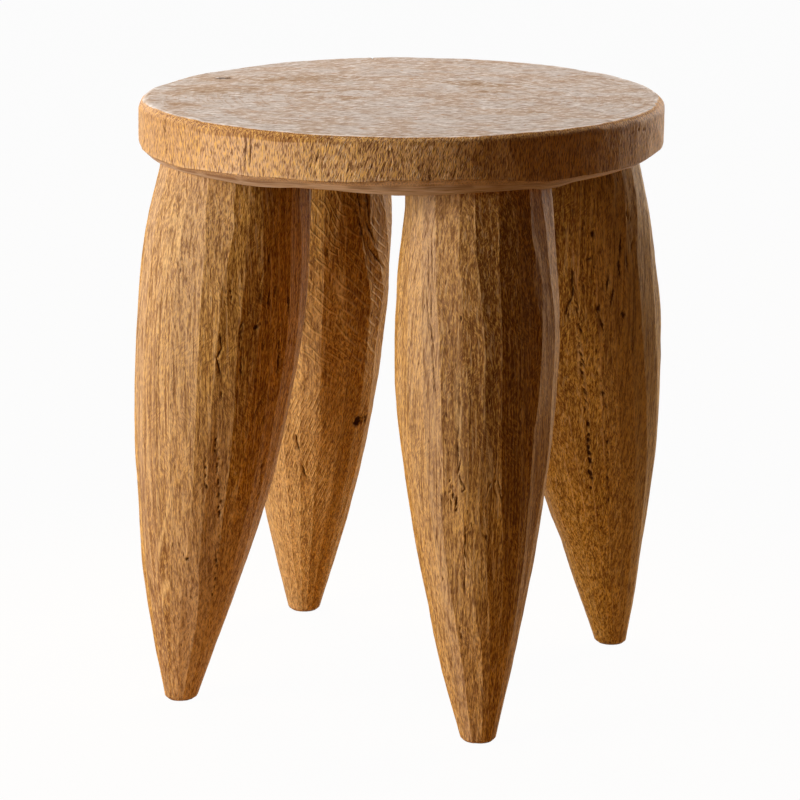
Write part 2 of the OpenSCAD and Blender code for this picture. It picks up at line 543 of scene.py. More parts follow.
def tone_of_flats(name, kind, heights):
    """The value of a mask at each height and column of the mesh, with the first column again at the end."""
    rng = np.random.default_rng(CARVING[name]["seed"] + 1)
    flats = len(legs[name]["lines"]) - 1
    levels = sorted(SEEN_TONES[name][kind])
    rows = [SEEN_TONES[name][kind][level] for level in levels]
    hidden = rng.uniform(0, MOST[kind], flats - len(rows[0]))
    seen = [np.interp(heights / MM, levels, values) for values in zip(*rows)]
    values = np.stack([*seen, *(0 * heights[:, None] + hidden).T], axis=1)
    columns = np.repeat(values, len(FLAT_SHARES), axis=1)
    columns[:, ::len(FLAT_SHARES)] = (values + np.roll(values, 1, axis=1)) / 2
    return np.concatenate([columns, columns[:, :1]], axis=1)


print("shade at the belly:", tone_of_flats("leg_front_left", "dark_wood_and_painted_shade", np.array([0.2])).mean().round(2))

# %% [markdown]
# ## From depths to a surface
# The cuts are taken off the round form along its radius, and their mean depth is given back,
# so that the leg keeps the thickness that the frame gives it. Then come the slower swellings
# of a hand-held blade and the fine raised grain, which runs up and down because all the wood
# stands upright.

# %% The carved radius of each leg
SWELL = 0.32 * MM
GRAIN = 0.045 * MM
FINE_GRAIN = GRAIN * 0.7
CALM_FOOT = (0.008, 0.03)


def ring_of(turns, radii, heights):
    """Points round the Z axis, with the first point again at the end."""
    turns, radii, heights = (np.append(values, values[0]) for values in (turns, radii, heights))
    return np.stack([radii * np.cos(turns), radii * np.sin(turns), heights], axis=1)


def leg_ring(leg, height, radii, turns):
    """Points round the leg's middle line at one height."""
    middle = leg["foot"].lerp(leg["neck"], min(height, LEG_HEIGHT) / LEG_HEIGHT)
    return ring_of(turns, radii, np.full(len(turns), height)) + (middle.x, middle.y, 0)


def body_rings(leg, radii):
    return np.stack([leg_ring(leg, *row) for row in zip(leg["heights"], radii, leg["turns"])])


def carved_radii(leg, seed):
    cuts = leg["cuts"] - leg["cuts"].mean(axis=1, keepdims=True)
    radii = leg["round"] * (1 - cuts)
    points = body_rings(leg, radii)[:, :-1]
    calm = eased(leg["round"].mean(axis=1), *CALM_FOOT)[:, None]
    radii += SWELL * calm * ripples(points, (0.05, 0.05, 0.09), seed)
    radii += GRAIN * ripples(points, (0.005, 0.005, 0.06), seed + 1)
    radii += FINE_GRAIN * ripples(points, (0.0032, 0.0032, 0.02), seed + 2)
    leg["ridge"] *= 0.2 + 0.8 * eased(ripples(points, (0.018, 0.018, 0.03), seed + 3), -0.3, 0.9)
    return radii


for name in LEGS:
    legs[name]["radii"] = carved_radii(legs[name], CARVING[name]["seed"] + 100)
    print(name, "mean radius, mm:", round(float(legs[name]["radii"].mean()) / MM, 1))

# %% [markdown]
# ## Rolling a sheet
# A leg is a tube that closes at both ends. It could be lathed with Spin, but the carving needs
# a vertex at every turn and height. So a flat grid is rolled up: bmesh makes the grid, each of
# its rows becomes a ring, and Merge by Distance closes the seam and the two ends. The rows run
# from the middle of the sole, up the leg, over the shoulder and up the tenon.

# %% Rolling a sheet
WELD = 0.002 * MM


def rolled_sheet(name, rings, masks, across, along):
    """Rolls a grid into rings. masks are numbers for each point, and across and along give the UV map."""
    rows, columns = rings.shape[0] - 1, rings.shape[1] - 1
    sheet = bmesh.new()
    bmesh.ops.create_grid(sheet, x_segments=columns, y_segments=rows, size=1)
    mesh = as_mesh(sheet, name)
    flat = vertex_places(mesh)
    column = np.rint((flat[:, 0] + 1) / 2 * columns).astype(int)
    row = np.rint((flat[:, 1] + 1) / 2 * rows).astype(int)
    mesh.vertices.foreach_set("co", rings[row, column].ravel())
    for mask, values in masks.items():
        mesh.attributes.new(mask, "FLOAT", "POINT").data.foreach_set("value", values[row, column])
    corner = np.empty(len(mesh.loops), dtype=np.int32)
    mesh.loops.foreach_get("vertex_index", corner)
    places = np.stack([across[column[corner]], along[row[corner]]], axis=1)
    mesh.uv_layers.new(name="unrolled").uv.foreach_set("vector", places.ravel())
    return mesh


def welded(mesh):
    """The mesh as a bmesh, with its seam and ends closed and its faces turned outwards."""
    shell = bmesh.new()
    shell.from_mesh(mesh)
    bmesh.ops.remove_doubles(shell, verts=shell.verts, dist=WELD)
    bmesh.ops.recalc_face_normals(shell, faces=shell.faces)
    return shell


def path_lengths(rings):
    """How far each row is along the sheet, measured up one column."""
    steps = np.linalg.norm(np.diff(rings[:, 0], axis=0), axis=1)
    return np.concatenate([[0], np.cumsum(steps)])


# %% Rings of a leg
SOLE_ROWS = 5
SHOULDER_ROWS = 4
TENON_ROWS = 5
TENON_EDGE = 1 * MM
CAP_SHARES = (1, 0.66, 0.33, 0)


def leg_rings(name):
    """All rings of a leg from sole to tenon, and the row at which its body starts."""
    leg = legs[name]
    low, high = leg["turns"][0], leg["turns"][-1]
    shares = np.linspace(0, 1, SOLE_ROWS + 1)[:-1]
    rings = [leg_ring(leg, 0, leg["radii"][0] * share, low) for share in shares]
    rings += list(body_rings(leg, leg["radii"]))
    shoulder = leg["radii"][-1]
    for share in np.linspace(0, 1, SHOULDER_ROWS + 1)[1:]:
        rings.append(leg_ring(leg, LEG_HEIGHT, shoulder + (leg["tenon"] - shoulder) * share, high))
    even = np.ones(len(high))
    for height in np.linspace(LEG_HEIGHT, leg["top"] - TENON_EDGE, TENON_ROWS)[1:]:
        rings.append(leg_ring(leg, height, leg["tenon"] * even, high))
    for share in CAP_SHARES:
        rings.append(leg_ring(leg, leg["top"], (leg["tenon"] - TENON_EDGE) * share * even, high))
    return np.stack(rings), SOLE_ROWS


def leg_shell(name):
    leg = legs[name]
    rings, start = leg_rings(name)
    masks = {"ridge": np.zeros(rings.shape[:2])}
    masks["ridge"][start:start + len(leg["heights"]), :-1] = leg["ridge"]
    masks["ridge"][:, -1] = masks["ridge"][:, 0]
    for kind in MOST:
        masks[kind] = tone_of_flats(name, kind, rings[:, 0, 2])
    turns = leg["turns"].mean(axis=0)
    across = np.append(turns, turns[0] + 2 * math.pi) * leg["round"].max()
    return rolled_sheet(name + "_carved", rings, masks, across, path_lengths(rings))


shells = {name: leg_shell(name) for name in LEGS}
print("leg faces:", {name: len(mesh.polygons) for name, mesh in shells.items()})

# %% [markdown]
# ## Pits, cracks and knots
# The wood has open pits in rows along the grain, drying cracks and a few knot holes. They are cut
# into the mesh as hollows, and they also get a painted shade that darkens with their depth. The
# mesh is too coarse for a crack half a millimetre wide, so bmesh subdivides it, but only where a
# mark lies. Each mark is a long oval: a place, a length along the grain, a width, a depth and a
# lean. A trail is a row of such marks between two places, a little irregular.

# %% Marks
LEG_RADIUS = 50
OVERLAP = 1.25
TRAIL_SIZES = (0.6, 1.35)
TRAIL_WIDTHS = (0.75, 1.2)
TRAIL_STRAY = 0.7
LEAN_STRAY = 8


def mark(turn, height, length, width=1.3, depth=1.0, lean=0.0):
    """One oval hollow. Turn and lean in degrees, height and sizes in millimetres."""
    return {"turn": turn, "height": height, "length": length, "width": width, "depth": depth, "lean": lean}


def trail(start, end, count, length=2.6, width=1.4, depth=0.9, lean=0.0, seed=1, stray=1.0):
    """A row of marks from one (turn, height) to another."""
    rng = np.random.default_rng(seed)
    made = []
    for number in range(count):
        share = (number + 0.5) / count + rng.uniform(-0.35, 0.35) / count
        size = rng.uniform(*TRAIL_SIZES)
        made.append(mark(start[0] + (end[0] - start[0]) * share + rng.normal(0, TRAIL_STRAY) * stray,
                         start[1] + (end[1] - start[1]) * share,
                         length * size, width * rng.uniform(*TRAIL_WIDTHS), depth * size,
                         lean + rng.normal(0, LEAN_STRAY) * stray))
    return made


def crack(places, width=0.9, depth=1.1):
    """A thin crack through a few places, as ovals that overlap end to end."""
    made = []
    for (turn_a, height_a), (turn_b, height_b) in zip(places, places[1:]):
        sideways = math.radians(turn_b - turn_a) * LEG_RADIUS
        upwards = height_b - height_a
        made.append(mark((turn_a + turn_b) / 2, (height_a + height_b) / 2,
                         math.hypot(sideways, upwards) * OVERLAP, width, depth,
                         math.degrees(math.atan2(sideways, upwards))))
    return made


def scattered(seed, turns, heights, count, length=(3, 9), width=(0.9, 1.5), depth=0.8):
    """Marks strewn over a patch between two turns and two heights."""
    rng = np.random.default_rng(seed)
    return [mark(rng.uniform(*turns), rng.uniform(*heights), rng.uniform(*length), rng.uniform(*width),
                 depth * rng.uniform(0.6, 1.2), rng.normal(0, 6)) for number in range(count)]


MARKS = {
    "leg_front_left": [
        *trail((-62, 190), (-47, 133), 17, seed=1),
        *trail((-45, 122), (-39, 76), 9, seed=2),
        *trail((-67, 176), (-64, 152), 5, seed=3),
        *trail((-16, 175), (-10, 143), 5, length=4.2, width=1.5, lean=22, seed=4),
        mark(-74, 104, 3.2, 1.6, 1.2, 20), mark(-62, 287, 3, 1.5), mark(-61, 283, 2.5, 1.2),
        *crack([(-66, 258), (-64, 250), (-67, 243), (-63, 232)], width=1.3),
        *trail((-53, 266), (-47, 232), 9, length=5, width=1.7, stray=1.6, seed=5),
        mark(-42, 262, 3.6, 3, 1.6), mark(-20, 248, 9, 1.5, 1.4), mark(-18, 235, 16, 1.6, 1.6, -4),
        mark(-34, 280, 12, 1.4), mark(-15, 274, 15, 1.6, 1.3, -8), mark(-33, 204, 13, 1.2, 0.9, 22),
        mark(-29, 213, 10, 1.2, 0.9, 20), mark(-60, 218, 4, 1.4), mark(-25, 198, 8, 1.1, 0.8, 18),
        *crack([(-40, 320), (-28, 321), (-17, 325), (-5, 324)], width=0.6, depth=0.5),
        *scattered(6, (-45, 5), (200, 310), 22),
        *trail((70, 260), (80, 150), 20, seed=7), *crack([(130, 300), (128, 270), (131, 240)], width=1.0),
        *scattered(8, (60, 210), (60, 330), 24),
    ],
    "leg_front_right": [
        *crack([(-83, 240), (-84, 222), (-85, 204)], width=0.7, depth=0.45),
        *crack([(-85, 204), (-84, 193), (-85.5, 185), (-83, 178), (-80.5, 174), (-84, 171)], depth=0.9),
        mark(-92, 178, 3, 1.4, 0.6, 20), mark(-90, 175, 3, 1.6, 0.7, -30), mark(-94, 172, 3, 1.4, 0.8, 30),
        mark(-91, 169, 5, 1.3, 1.1, 8), mark(-88.5, 166, 8, 1.3, 1.2, 6), mark(-92.5, 163, 6, 1.0, 0.9, -8),
        mark(-95, 166, 4, 1.0, 0.6, 30), mark(-89, 160, 4, 1.5, 1.0, 20), mark(-101, 163, 11, 0.8, 0.8),
        mark(-57, 179, 5, 1.0, 0.6, 25), mark(-53, 177, 9, 0.9, 0.7, -18), mark(-51, 170, 9, 0.9, 0.8, -14),
        mark(-55, 171, 6, 0.9, 0.6, -20), mark(-48, 174, 12, 0.8, 0.7, -12), mark(-60, 176, 4, 1.2, 0.7, 35),
        *crack([(-81, 146), (-82, 136), (-82, 126), (-84, 116), (-86, 104)], width=0.8, depth=0.9),
        *trail((-94, 80), (-93, 73), 3, length=4, lean=12, seed=11), mark(-63, 142, 4, 1.2),
        *crack([(-106, 330), (-105, 300), (-106, 280), (-103, 258), (-101, 232)], width=0.8, depth=0.75),
        *crack([(-109, 326), (-109, 300), (-108, 270)], width=0.8, depth=0.6),
        mark(-82, 283, 3.5, 1.5), mark(-133, 283, 3, 1.3), mark(-126, 262, 7, 1.0, 0.6),
        *scattered(12, (-140, -20), (60, 340), 16, length=(2, 6), width=(0.8, 1.2), depth=0.6),
        *trail((20, 300), (35, 170), 22, seed=13), *crack([(90, 250), (92, 225), (89, 195)], width=1.1),
        mark(150, 190, 7, 5, 2.2), *scattered(14, (0, 220), (50, 330), 24),
    ],
    "leg_back_right": [
        mark(-56, 306, 4.5, 2.2, 1.3), mark(-60, 289, 5, 1.6, 1.1, 55), mark(-58, 283, 3, 1.4),
        *trail((-72, 262), (-74, 182), 19, length=4.6, width=1.5, lean=-32, seed=21),
        *crack([(-74, 280), (-75, 270), (-76, 262), (-80, 256), (-82, 249)], width=1.4, depth=1.3),
        mark(-35, 296, 17, 1.5, 1.3), mark(-37.5, 282, 13, 2.0, 1.5, -3), mark(-30, 285, 10, 1.5, 1.2),
        mark(-48, 272, 12, 1.4, 1.1, 8), mark(-45, 265, 8, 1.6, 1.1, 6), mark(-47, 261, 9, 1.3, 1.0, 4),
        mark(-57, 254, 5, 2.4, 1.4, 30), mark(-56, 243, 11, 1.5, 1.2, -10), mark(-38, 249, 5, 2.4, 1.5, -15),
        *crack([(-31, 237), (-31.5, 229), (-32, 221)], width=0.9, depth=0.8),
        *trail((-64, 240), (-57, 181), 7, length=3.4, width=1.7, seed=22),
        *trail((-73, 174), (-76, 122), 9, length=4.4, width=2.3, depth=1.5, lean=-12, seed=23),
        *trail((-58, 168), (-58, 109), 9, length=3, width=1.8, seed=24),
        *scattered(25, (-85, -20), (220, 340), 26),
        *trail((60, 280), (75, 120), 26, seed=26), *crack([(120, 260), (118, 235), (121, 205)], width=1.2),
        *scattered(27, (20, 230), (60, 330), 26),
    ],
    "leg_back_left": [
        mark(-18, 151, 6.5, 6, 3.4), mark(-6, 149.5, 6, 2.2, 1.8, 12), mark(-9, 153, 4, 1.6, 1.2, -20),
        *crack([(-81, 143), (-80, 138), (-78, 132)], width=1.3, depth=1.2),
        *crack([(-74, 119), (-72.5, 114), (-70, 110)], width=1.3, depth=1.2),
        *crack([(-36, 330), (-33, 306), (-29, 281)], width=1.6, depth=0.9),
        *crack([(-26, 325), (-24, 300), (-20, 283), (-10, 262)], width=1.8, depth=1.0),
        *scattered(31, (-60, 0), (170, 300), 12), *scattered(32, (-90, -30), (60, 160), 6, depth=0.5),
        *trail((60, 280), (70, 160), 20, seed=33), *crack([(150, 250), (148, 220), (152, 190)], width=1.1),
        mark(200, 120, 6, 5, 2.0), *scattered(34, (30, 260), (50, 330), 24),
    ],
}
print("marks on each leg:", {name: len(marks) for name, marks in MARKS.items()})

# %% [markdown]
# A mark is turned from its turn and height into a place and three directions in space: along
# the grain, across it, and straight into the wood. Then the same cutting function serves the
# legs, the seat's edge and its top.

# %% Cutting the marks
FINER = 2
MARK_MARGIN = 1.45
MARK_REACH = 4 * MM
END_ROWS = 4
ALONG_ROWS = 2
THINNEST = 0.9 * MM
END_MARGIN = 0.5 * MM
RAGGED = (1.6 * MM, 1.6 * MM, 3.2 * MM)
# Depths at which the painted shade of a mark starts and is full.
SHALLOW = 0.1 * MM
DEEP = 1.1 * MM


def placed(point, along, across, one):
    """A mark with its place and directions in space, leaned, and half its size in metres."""
    lean = math.radians(one["lean"])
    axis = along.cross(across).normalized()
    turned = Matrix.Rotation(-lean, 3, axis)
    return {"point": np.array(point), "along": np.array(turned @ along), "across": np.array(turned @ across),
            "out": np.array(axis), "length": one["length"] * MM / 2, "width": one["width"] * MM / 2,
            "depth": one["depth"] * MM}


def ways(turn):
    """The level directions outwards at a turn, and sideways from there."""
    return Vector((math.cos(turn), math.sin(turn), 0)), Vector((-math.sin(turn), math.cos(turn), 0))


def leg_mark(name, one):
    leg = legs[name]
    row = int(np.searchsorted(leg["heights"], one["height"] * MM))
    row = min(max(row, END_ROWS), len(leg["heights"]) - 1 - END_ROWS)
    column = int(np.abs(turned_away(leg["turns"][row], math.radians(one["turn"]))).argmin())
    at = [Vector(leg_ring(leg, leg["heights"][r], leg["radii"][r], leg["turns"][r])[column])
          for r in (row - ALONG_ROWS, row, row + ALONG_ROWS)]
    along = (at[2] - at[0]).normalized()
    across = ways(leg["turns"][row, column])[1]
    across = (across - along * across.dot(along)).normalized()
    return placed(at[1], -along, across, one)


def closeness(points, one, ragged=1.0):
    """For each point, its distance from the mark's middle in mark sizes, and how deep it lies."""
    away = points - one["point"]
    along = away @ one["along"] / one["length"]
    across = away @ one["across"] / one["width"] * ragged
    return np.sqrt(along ** 2 + across ** 2), np.abs(away @ one["out"])


def coordinates(shell):
    return np.array([vertex.co[:] for vertex in shell.verts])


def cut_marks(shell, marks):
    """Refines the shell where marks lie, cuts them in, and keeps their painted shade, by depth, in a mask
    called pit.
    """
    points = coordinates(shell)
    near = np.zeros(len(points), dtype=bool)
    for one in marks:
        reach = dict(one, width=max(one["width"], THINNEST), length=one["length"] + END_MARGIN)
        ovals, deep = closeness(points, reach)
        near |= (ovals < MARK_MARGIN) & (deep < MARK_REACH)
    shell.verts.ensure_lookup_table()
    edges = [e for e in shell.edges if near[e.verts[0].index] and near[e.verts[1].index]]
    bmesh.ops.subdivide_edges(shell, edges=edges, cuts=FINER, use_grid_fill=True)
    shell.verts.index_update()
    points = coordinates(shell)
    ragged = np.exp(0.3 * ripples(points, RAGGED, 51))
    hollow = np.zeros(len(points))
    into = np.zeros_like(points)
    for one in marks:
        ovals, deep = closeness(points, one, ragged)
        share = np.exp(-ovals ** 3) * (deep < MARK_REACH)
        deeper = share * one["depth"] > hollow
        hollow = np.where(deeper, share * one["depth"], hollow)
        into[deeper] = -one["out"]
    points += into * hollow[:, None]
    painted_pit_shade = shell.verts.layers.float.new("painted_pit_shade")
    # Painted shade in the hollows: the deeper a mark, the darker its colour.
    darkness = eased(hollow, SHALLOW, DEEP)
    for vertex, point, dark in zip(shell.verts, points, darkness):
        vertex.co = point
        vertex[painted_pit_shade] = dark


def finished(shell, mesh, node):
    """Puts a shell back in its mesh, smooth, as a piece that stands for a node of the frame."""
    for face in shell.faces:
        face.smooth = True
    shell.to_mesh(mesh)
    shell.free()
    piece = in_scene(mesh.name, mesh)
    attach(piece, "root")
    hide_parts(node)
    return piece


def make_leg(name):
    shell = welded(shells[name])
    cut_marks(shell, [leg_mark(name, one) for one in MARKS[name]])
    return finished(shell, shells[name], name)


pieces = {name: make_leg(name) for name in LEGS}
for name, piece in pieces.items():
    triangles = sum(len(face.vertices) - 2 for face in piece.data.polygons)
    print(name, "triangles:", triangles)

# %% [markdown]
# ## The seat
# The seat is a thick disc. Its top edge is worn round, its side is rough and nearly upright,
# and a chamfer of uneven width is cut round below. It is rolled from three sheets: a fine band
# for the edge, which the camera sees best, and coarser ones for the top and the underside.
# Bridge Edge Loops joins them, although their rings have different numbers of vertices. Nothing
# here is even, so each measure is a list of turns in degrees and sizes in millimetres: how far
# the rim is worn, how high and how deep the chamfer is cut, and how far the lower edge hangs.

# %% Outline of the seat's edge
BAND_COLUMNS = 960
TOP_COLUMNS = 480
UNDER_COLUMNS = 320
BAND_INNER = 160 * MM
RIM_WORN = [(-180, 8.4), (-160, 8.8), (-140, 6.5), (-120, 4.8), (-69, 4.2), (-30, 4.8), (-5, 6), (15, 7),
            (40, 6), (90, 4.5), (150, 6.5)]
CHAMFER_UP = [(-180, 7.5), (-150, 6), (-130, 4.6), (-123, 5), (-114, 6.2), (-105, 7.2), (-98, 7.8),
              (-94, 6.8), (-90, 5.8), (-86, 6.3), (-80, 7.2), (-75, 8.6), (-70, 10.4), (-62, 11), (-55, 10),
              (-47, 9), (-40, 7), (-32, 6.6), (-27, 5), (-20, 4.2), (-12, 4), (0, 6.4), (15, 8.8), (32, 8),
              (45, 6.5), (90, 8), (135, 6.5)]
CHAMFER_IN = [(-180, 8), (-150, 6.5), (-135, 5.8), (-120, 6.5), (-100, 8), (-45, 8), (-20, 8.5), (-5, 10),
              (15, 12), (32, 9.5), (45, 7), (90, 8), (135, 6.5)]
HANG = [(-125, 0), (-112, 0.2), (-105, 0.8), (-101, 0.8), (-97, 0.2), (-93.5, -0.7), (-90, -1.4),
        (-86.5, -1.3), (-83, -0.9), (-80, -0.4), (-77, 0.1), (-74, 0.4), (-70, 1.1), (-58, 0.5), (-54, 0),
        (-39, 0), (-36.5, 1.2), (-32, 0.8), (-28, -0.9), (-20, -2.1), (-12, -2.1), (0, -0.8), (15, 0),
        (60, 0), (95, -0.8), (110, 0), (180, 0)]


def by_turn(places, turns):
    """A value that changes round the seat, from its values at a few turns in degrees."""
    degrees, values = np.array(places).T
    return np.interp(np.degrees(turns), degrees, values, period=360)


def nearness(turns, middle, far, near=0):
    """0 further than far degrees from a turn, rising to 1 at near degrees from it."""
    away = (np.degrees(turns) - middle + 180) % 360 - 180
    return eased(-np.abs(away), -far, -near)


INNER_SHARES = np.linspace(0, 1, 7)[:-1]
RIM_ANGLES = np.linspace(0, math.pi / 2, 10)[:-1]
SIDE_SHARES = (*np.linspace(0, 0.96, 24), 0.988)
CHAMFER_SHARES = (0, 0.05, 0.25, 0.5, 0.75, 0.95)
UNDER_SHARES = (0, 0.04, 0.2, 0.45, 0.7, 1)
RIM_START = len(INNER_SHARES)
SIDE_START = RIM_START + len(RIM_ANGLES)
CHAMFER_START = SIDE_START + len(SIDE_SHARES)
CHAMFER_END = CHAMFER_START + len(CHAMFER_SHARES)


def edge_profile():
    """Radius and height of each ring of the band, from the top over the rim to the underside."""
    turns = around(BAND_COLUMNS)
    rim = ring_of(turns, 0 * turns + SEAT_RADIUS, 0 * turns)[:-1]
    worn, cut_up, cut_in = (
        by_turn(places, turns) * MM * (1 + share * ripples(rim, (size, size, 1), seed))
        for places, share, size, seed in
        ((RIM_WORN, 0.08, 0.05, 61), (CHAMFER_UP, 0.04, 0.04, 63), (CHAMFER_IN, 0.03, 0.05, 65)))
    low = LEG_HEIGHT - by_turn(HANG, turns) * MM
    top, bottom = SEAT_TOP - worn, low + cut_up
    outer = SEAT_RADIUS - cut_in
    rows = [(BAND_INNER + (SEAT_RADIUS - worn - BAND_INNER) * share, 0 * turns + SEAT_TOP)
            for share in INNER_SHARES]
    rows += [(SEAT_RADIUS - worn * (1 - math.sin(angle)), SEAT_TOP - worn * (1 - math.cos(angle)))
             for angle in RIM_ANGLES]
    rows += [(0 * turns + SEAT_RADIUS, top + (bottom - top) * share) for share in SIDE_SHARES]
    rows += [(SEAT_RADIUS - cut_in * share, low + cut_up * (1 - share)) for share in CHAMFER_SHARES]
    rows += [(outer + (BAND_INNER - outer) * share, low + (LEG_HEIGHT - low) * eased(share, 0, 0.8))
             for share in UNDER_SHARES]
    radii, heights = zip(*rows)
    return turns, np.array(radii), np.array(heights)


band_turns, band_radii, band_heights = edge_profile()
print("edge rings:", len(band_radii), "chamfer from", (band_heights[CHAMFER_START].mean() / MM).round(1),
      "mm up")

# %% [markdown]
# The side was hewn with an adze in short, shallow, upright cuts, and the fibres tore where the
# blade ran against the grain. The hewn flats and the slow waver go into the mesh, and so does
# the raised grain. The disc must not outgrow the frame, so every cut goes inwards.

# %% Unevenness of the seat
HEWN_FLATS = 58
TORN = [(-70, 20, 1), (-24, 26, 0.45), (60, 25, 0.9), (150, 18, 0.8)]
TORN_FADE = 8
LEAST_TORN = 0.25
SIDE_WAVER = 0.3 * MM
SIDE_GRAIN = 0.04 * MM
HEWN_SHARE = 0.6
HEWN_STRAY = 0.35
HEWN_REACH = (0.5, 0.8)
TOP_WAVER = 0.22 * MM
TOP_GRAIN = 0.06 * MM
TOP_DEPTH = 12 * MM
WORN_SIDE = 2.3 * MM
WORN_BAND = (0.115, 0.172)
WORN_TURNS = (172, 62)


def hewn(turns, rng):
    """Depth of shallow upright cuts round the seat's side, in metres."""
    width = 2 * math.pi / HEWN_FLATS
    deepest = np.zeros(len(turns))
    for number in range(HEWN_FLATS):
        away = turned_away(turns, width * (number + rng.uniform(-HEWN_STRAY, HEWN_STRAY)))
        reach = width * rng.uniform(*HEWN_REACH)
        deepest = np.maximum(deepest, (reach * reach - away * away) / 2 * SEAT_RADIUS)
    return deepest


def torn_zones(turns):
    """1 where the adze ran against the grain: most in the middle of the view and on the far side."""
    total = np.zeros(len(turns))
    for middle, half, strength in TORN:
        total = np.maximum(total, strength * nearness(turns, middle, half + TORN_FADE, half - TORN_FADE))
    return total


def on_top(points):
    """How far the top sinks at each point: a little, and more on its worn left side."""
    sunk = np.abs(ripples(points, (0.07, 0.07, 1), 69)) * TOP_WAVER
    sunk = sunk + np.abs(ripples(points, (0.011, 0.011, 1), 70)) * TOP_GRAIN
    turns = np.arctan2(points[..., 1], points[..., 0])
    outer = eased(np.hypot(points[..., 0], points[..., 1]), *WORN_BAND)
    sunk = sunk + WORN_SIDE * nearness(turns, *WORN_TURNS) * outer
    return np.where(points[..., 2] > SEAT_TOP - TOP_DEPTH, sunk, 0)


def uneven_edge():
    points = np.stack([ring_of(band_turns, r, h)[:-1] for r, h in zip(band_radii, band_heights)])
    side = eased(band_radii, SEAT_RADIUS - 6 * MM, SEAT_RADIUS - 1 * MM)
    upright = side.copy()
    upright[CHAMFER_START:] = 0
    flats = hewn(band_turns, np.random.default_rng(66))
    inwards = flats[None, :] * HEWN_SHARE * side
    waver = ripples(points, (0.05, 0.05, 0.05), 67) * SIDE_WAVER
    grain = ripples(points, (0.003, 0.003, 0.016), 68) * SIDE_GRAIN
    inwards = inwards + np.abs(waver) * side + np.abs(grain) * 2 * upright
    torn = upright * (LEAST_TORN + (1 - LEAST_TORN) * torn_zones(band_turns))
    worn = SEAT_TOP - band_heights[SIDE_START]
    flat = np.clip((band_heights - SEAT_TOP + worn) / worn, 0, 1)
    return band_radii - inwards, band_heights - on_top(points) * flat, torn


band_radii, band_heights, band_side = uneven_edge()
print("side, deepest cut, mm:", ((SEAT_RADIUS - band_radii[20]).max() / MM).round(2))

# %% [markdown]
# The sheets also carry the masks that the seat's material needs. Each is a list of turns and
# strengths: how pale and how dark the side is, and at the rim how dark the wood is, how strong
# the brown line is under the bleached top and how many rings down the bleaching reaches. The
# last two are how dark the chamfer is and how white the lip of the top is. The pale side is partly
# greyed wood and partly a painted highlight, most at its lit left and right ends, and the dark
# side is partly darker wood and partly a painted shade, most at the left end next to the key lamp.
# The dark rim, its brown line and the dark chamfer are partly painted shade, with a painted shadow
# on the chamfer above the front right leg, and the white lip is partly a painted highlight. The
# stains of the top are ovals: how far right and how far back their middle is as seen, half their
# length and width, and their lean, in millimetres and degrees.

# %% Masks of the seat
SEAT_MASKS = ("bleach", "worn_lip_and_painted_highlight", "rim", "torn", "chamfer", "stain", "pale", "dark_wood_and_painted_shade")
# Pale: greyed wood, and partly a painted highlight at the lit left and right ends.
SIDE_PALE = [(-180, 0.8), (-150, 0.8), (-128, 0.6), (-105, 0.75), (-92, 0.45), (-80, 0.35), (-65, 0.3),
             (-50, 0.05), (-40, 0.15), (-30, 0.35), (-10, 0.75), (5, 0.95), (25, 1), (60, 0.5), (120, 0.4)]
# Shade: darker wood, and partly a painted shade, most at the left end next to the key lamp.
SIDE_SHADE = [(-180, 0.35), (-122, 0.35), (-112, 0.1), (-105, 0.08), (-90, 0), (-54, 0), (-49, 0.45),
              (-36, 0.25), (-24, 0.05), (0, 0.1), (20, 0), (90, 0.25)]
# The dark rim and its brown line are partly worn wood and partly painted shade on the rounded rim.
RIM_DARK = [(-180, 0.1), (-140, 0.15), (-120, 0.3), (-105, 0.7), (-88, 0.8), (-80, 0.2), (-60, 0.3),
            (0, 0.2), (90, 0.5)]
RIM_LINE = [(-180, 0.1), (-138, 0.2), (-122, 0.7), (-112, 1), (0, 1), (15, 0.5), (40, 0.3), (70, 0.8),
            (130, 0.6)]
BLEACH_REACH = [(-180, 4.5), (-150, 4), (-135, 2.6), (-115, 1.6), (-95, 1), (-25, 1), (0, 2), (30, 2),
                (60, 1), (120, 2)]
# The dark chamfer is partly painted shade, with a painted shadow above the front right leg.
CHAMFER_DARK = [(-180, 0.3), (-125, 0.3), (-106, 0.5), (-98, 0.3), (-90, 0), (-56, 0), (-47, 0.3),
                (-40, 0.05), (-13, 0.1), (20, 0.2), (120, 0.3)]
# White lip: partly a worn edge, partly a painted highlight.
LIP_WHITE = [(-180, 0.3), (-130, 0.35), (-112, 0.7), (-95, 1), (-20, 0.9), (10, 1), (60, 0.8), (120, 0.5)]
STAINS = [
    (-52, 10, 28, 4, 21), (-35, -20, 15, 6, 28), (-129, 11, 27, 17, -10), (-67, 67, 42, 16, 8),
    (47, 50, 32, 12, -14), (60, 14, 12, 6, 0), (87, -70, 10, 4, 5), (-146, -46, 12, 5, -40),
]
print("masks:", SEAT_MASKS, "and stains:", len(STAINS))

# %% [markdown]
# Each sheet is a stack of rings. The top and the underside are discs of even rings that sink or
# rise a little, and the band has the profile that was laid down above.

# %% Sheets of the seat
TOP_ROWS = 56
UNDER_ROWS = 26
SHEET_GAP = 2.4 * MM
UNDER_HOLLOW = 0.5 * MM
CALM_NECK = (58 * MM, 66 * MM)
CALM_RIM = (-0.15, -0.13)
STAIN_EDGE = (-1.25, -0.6)


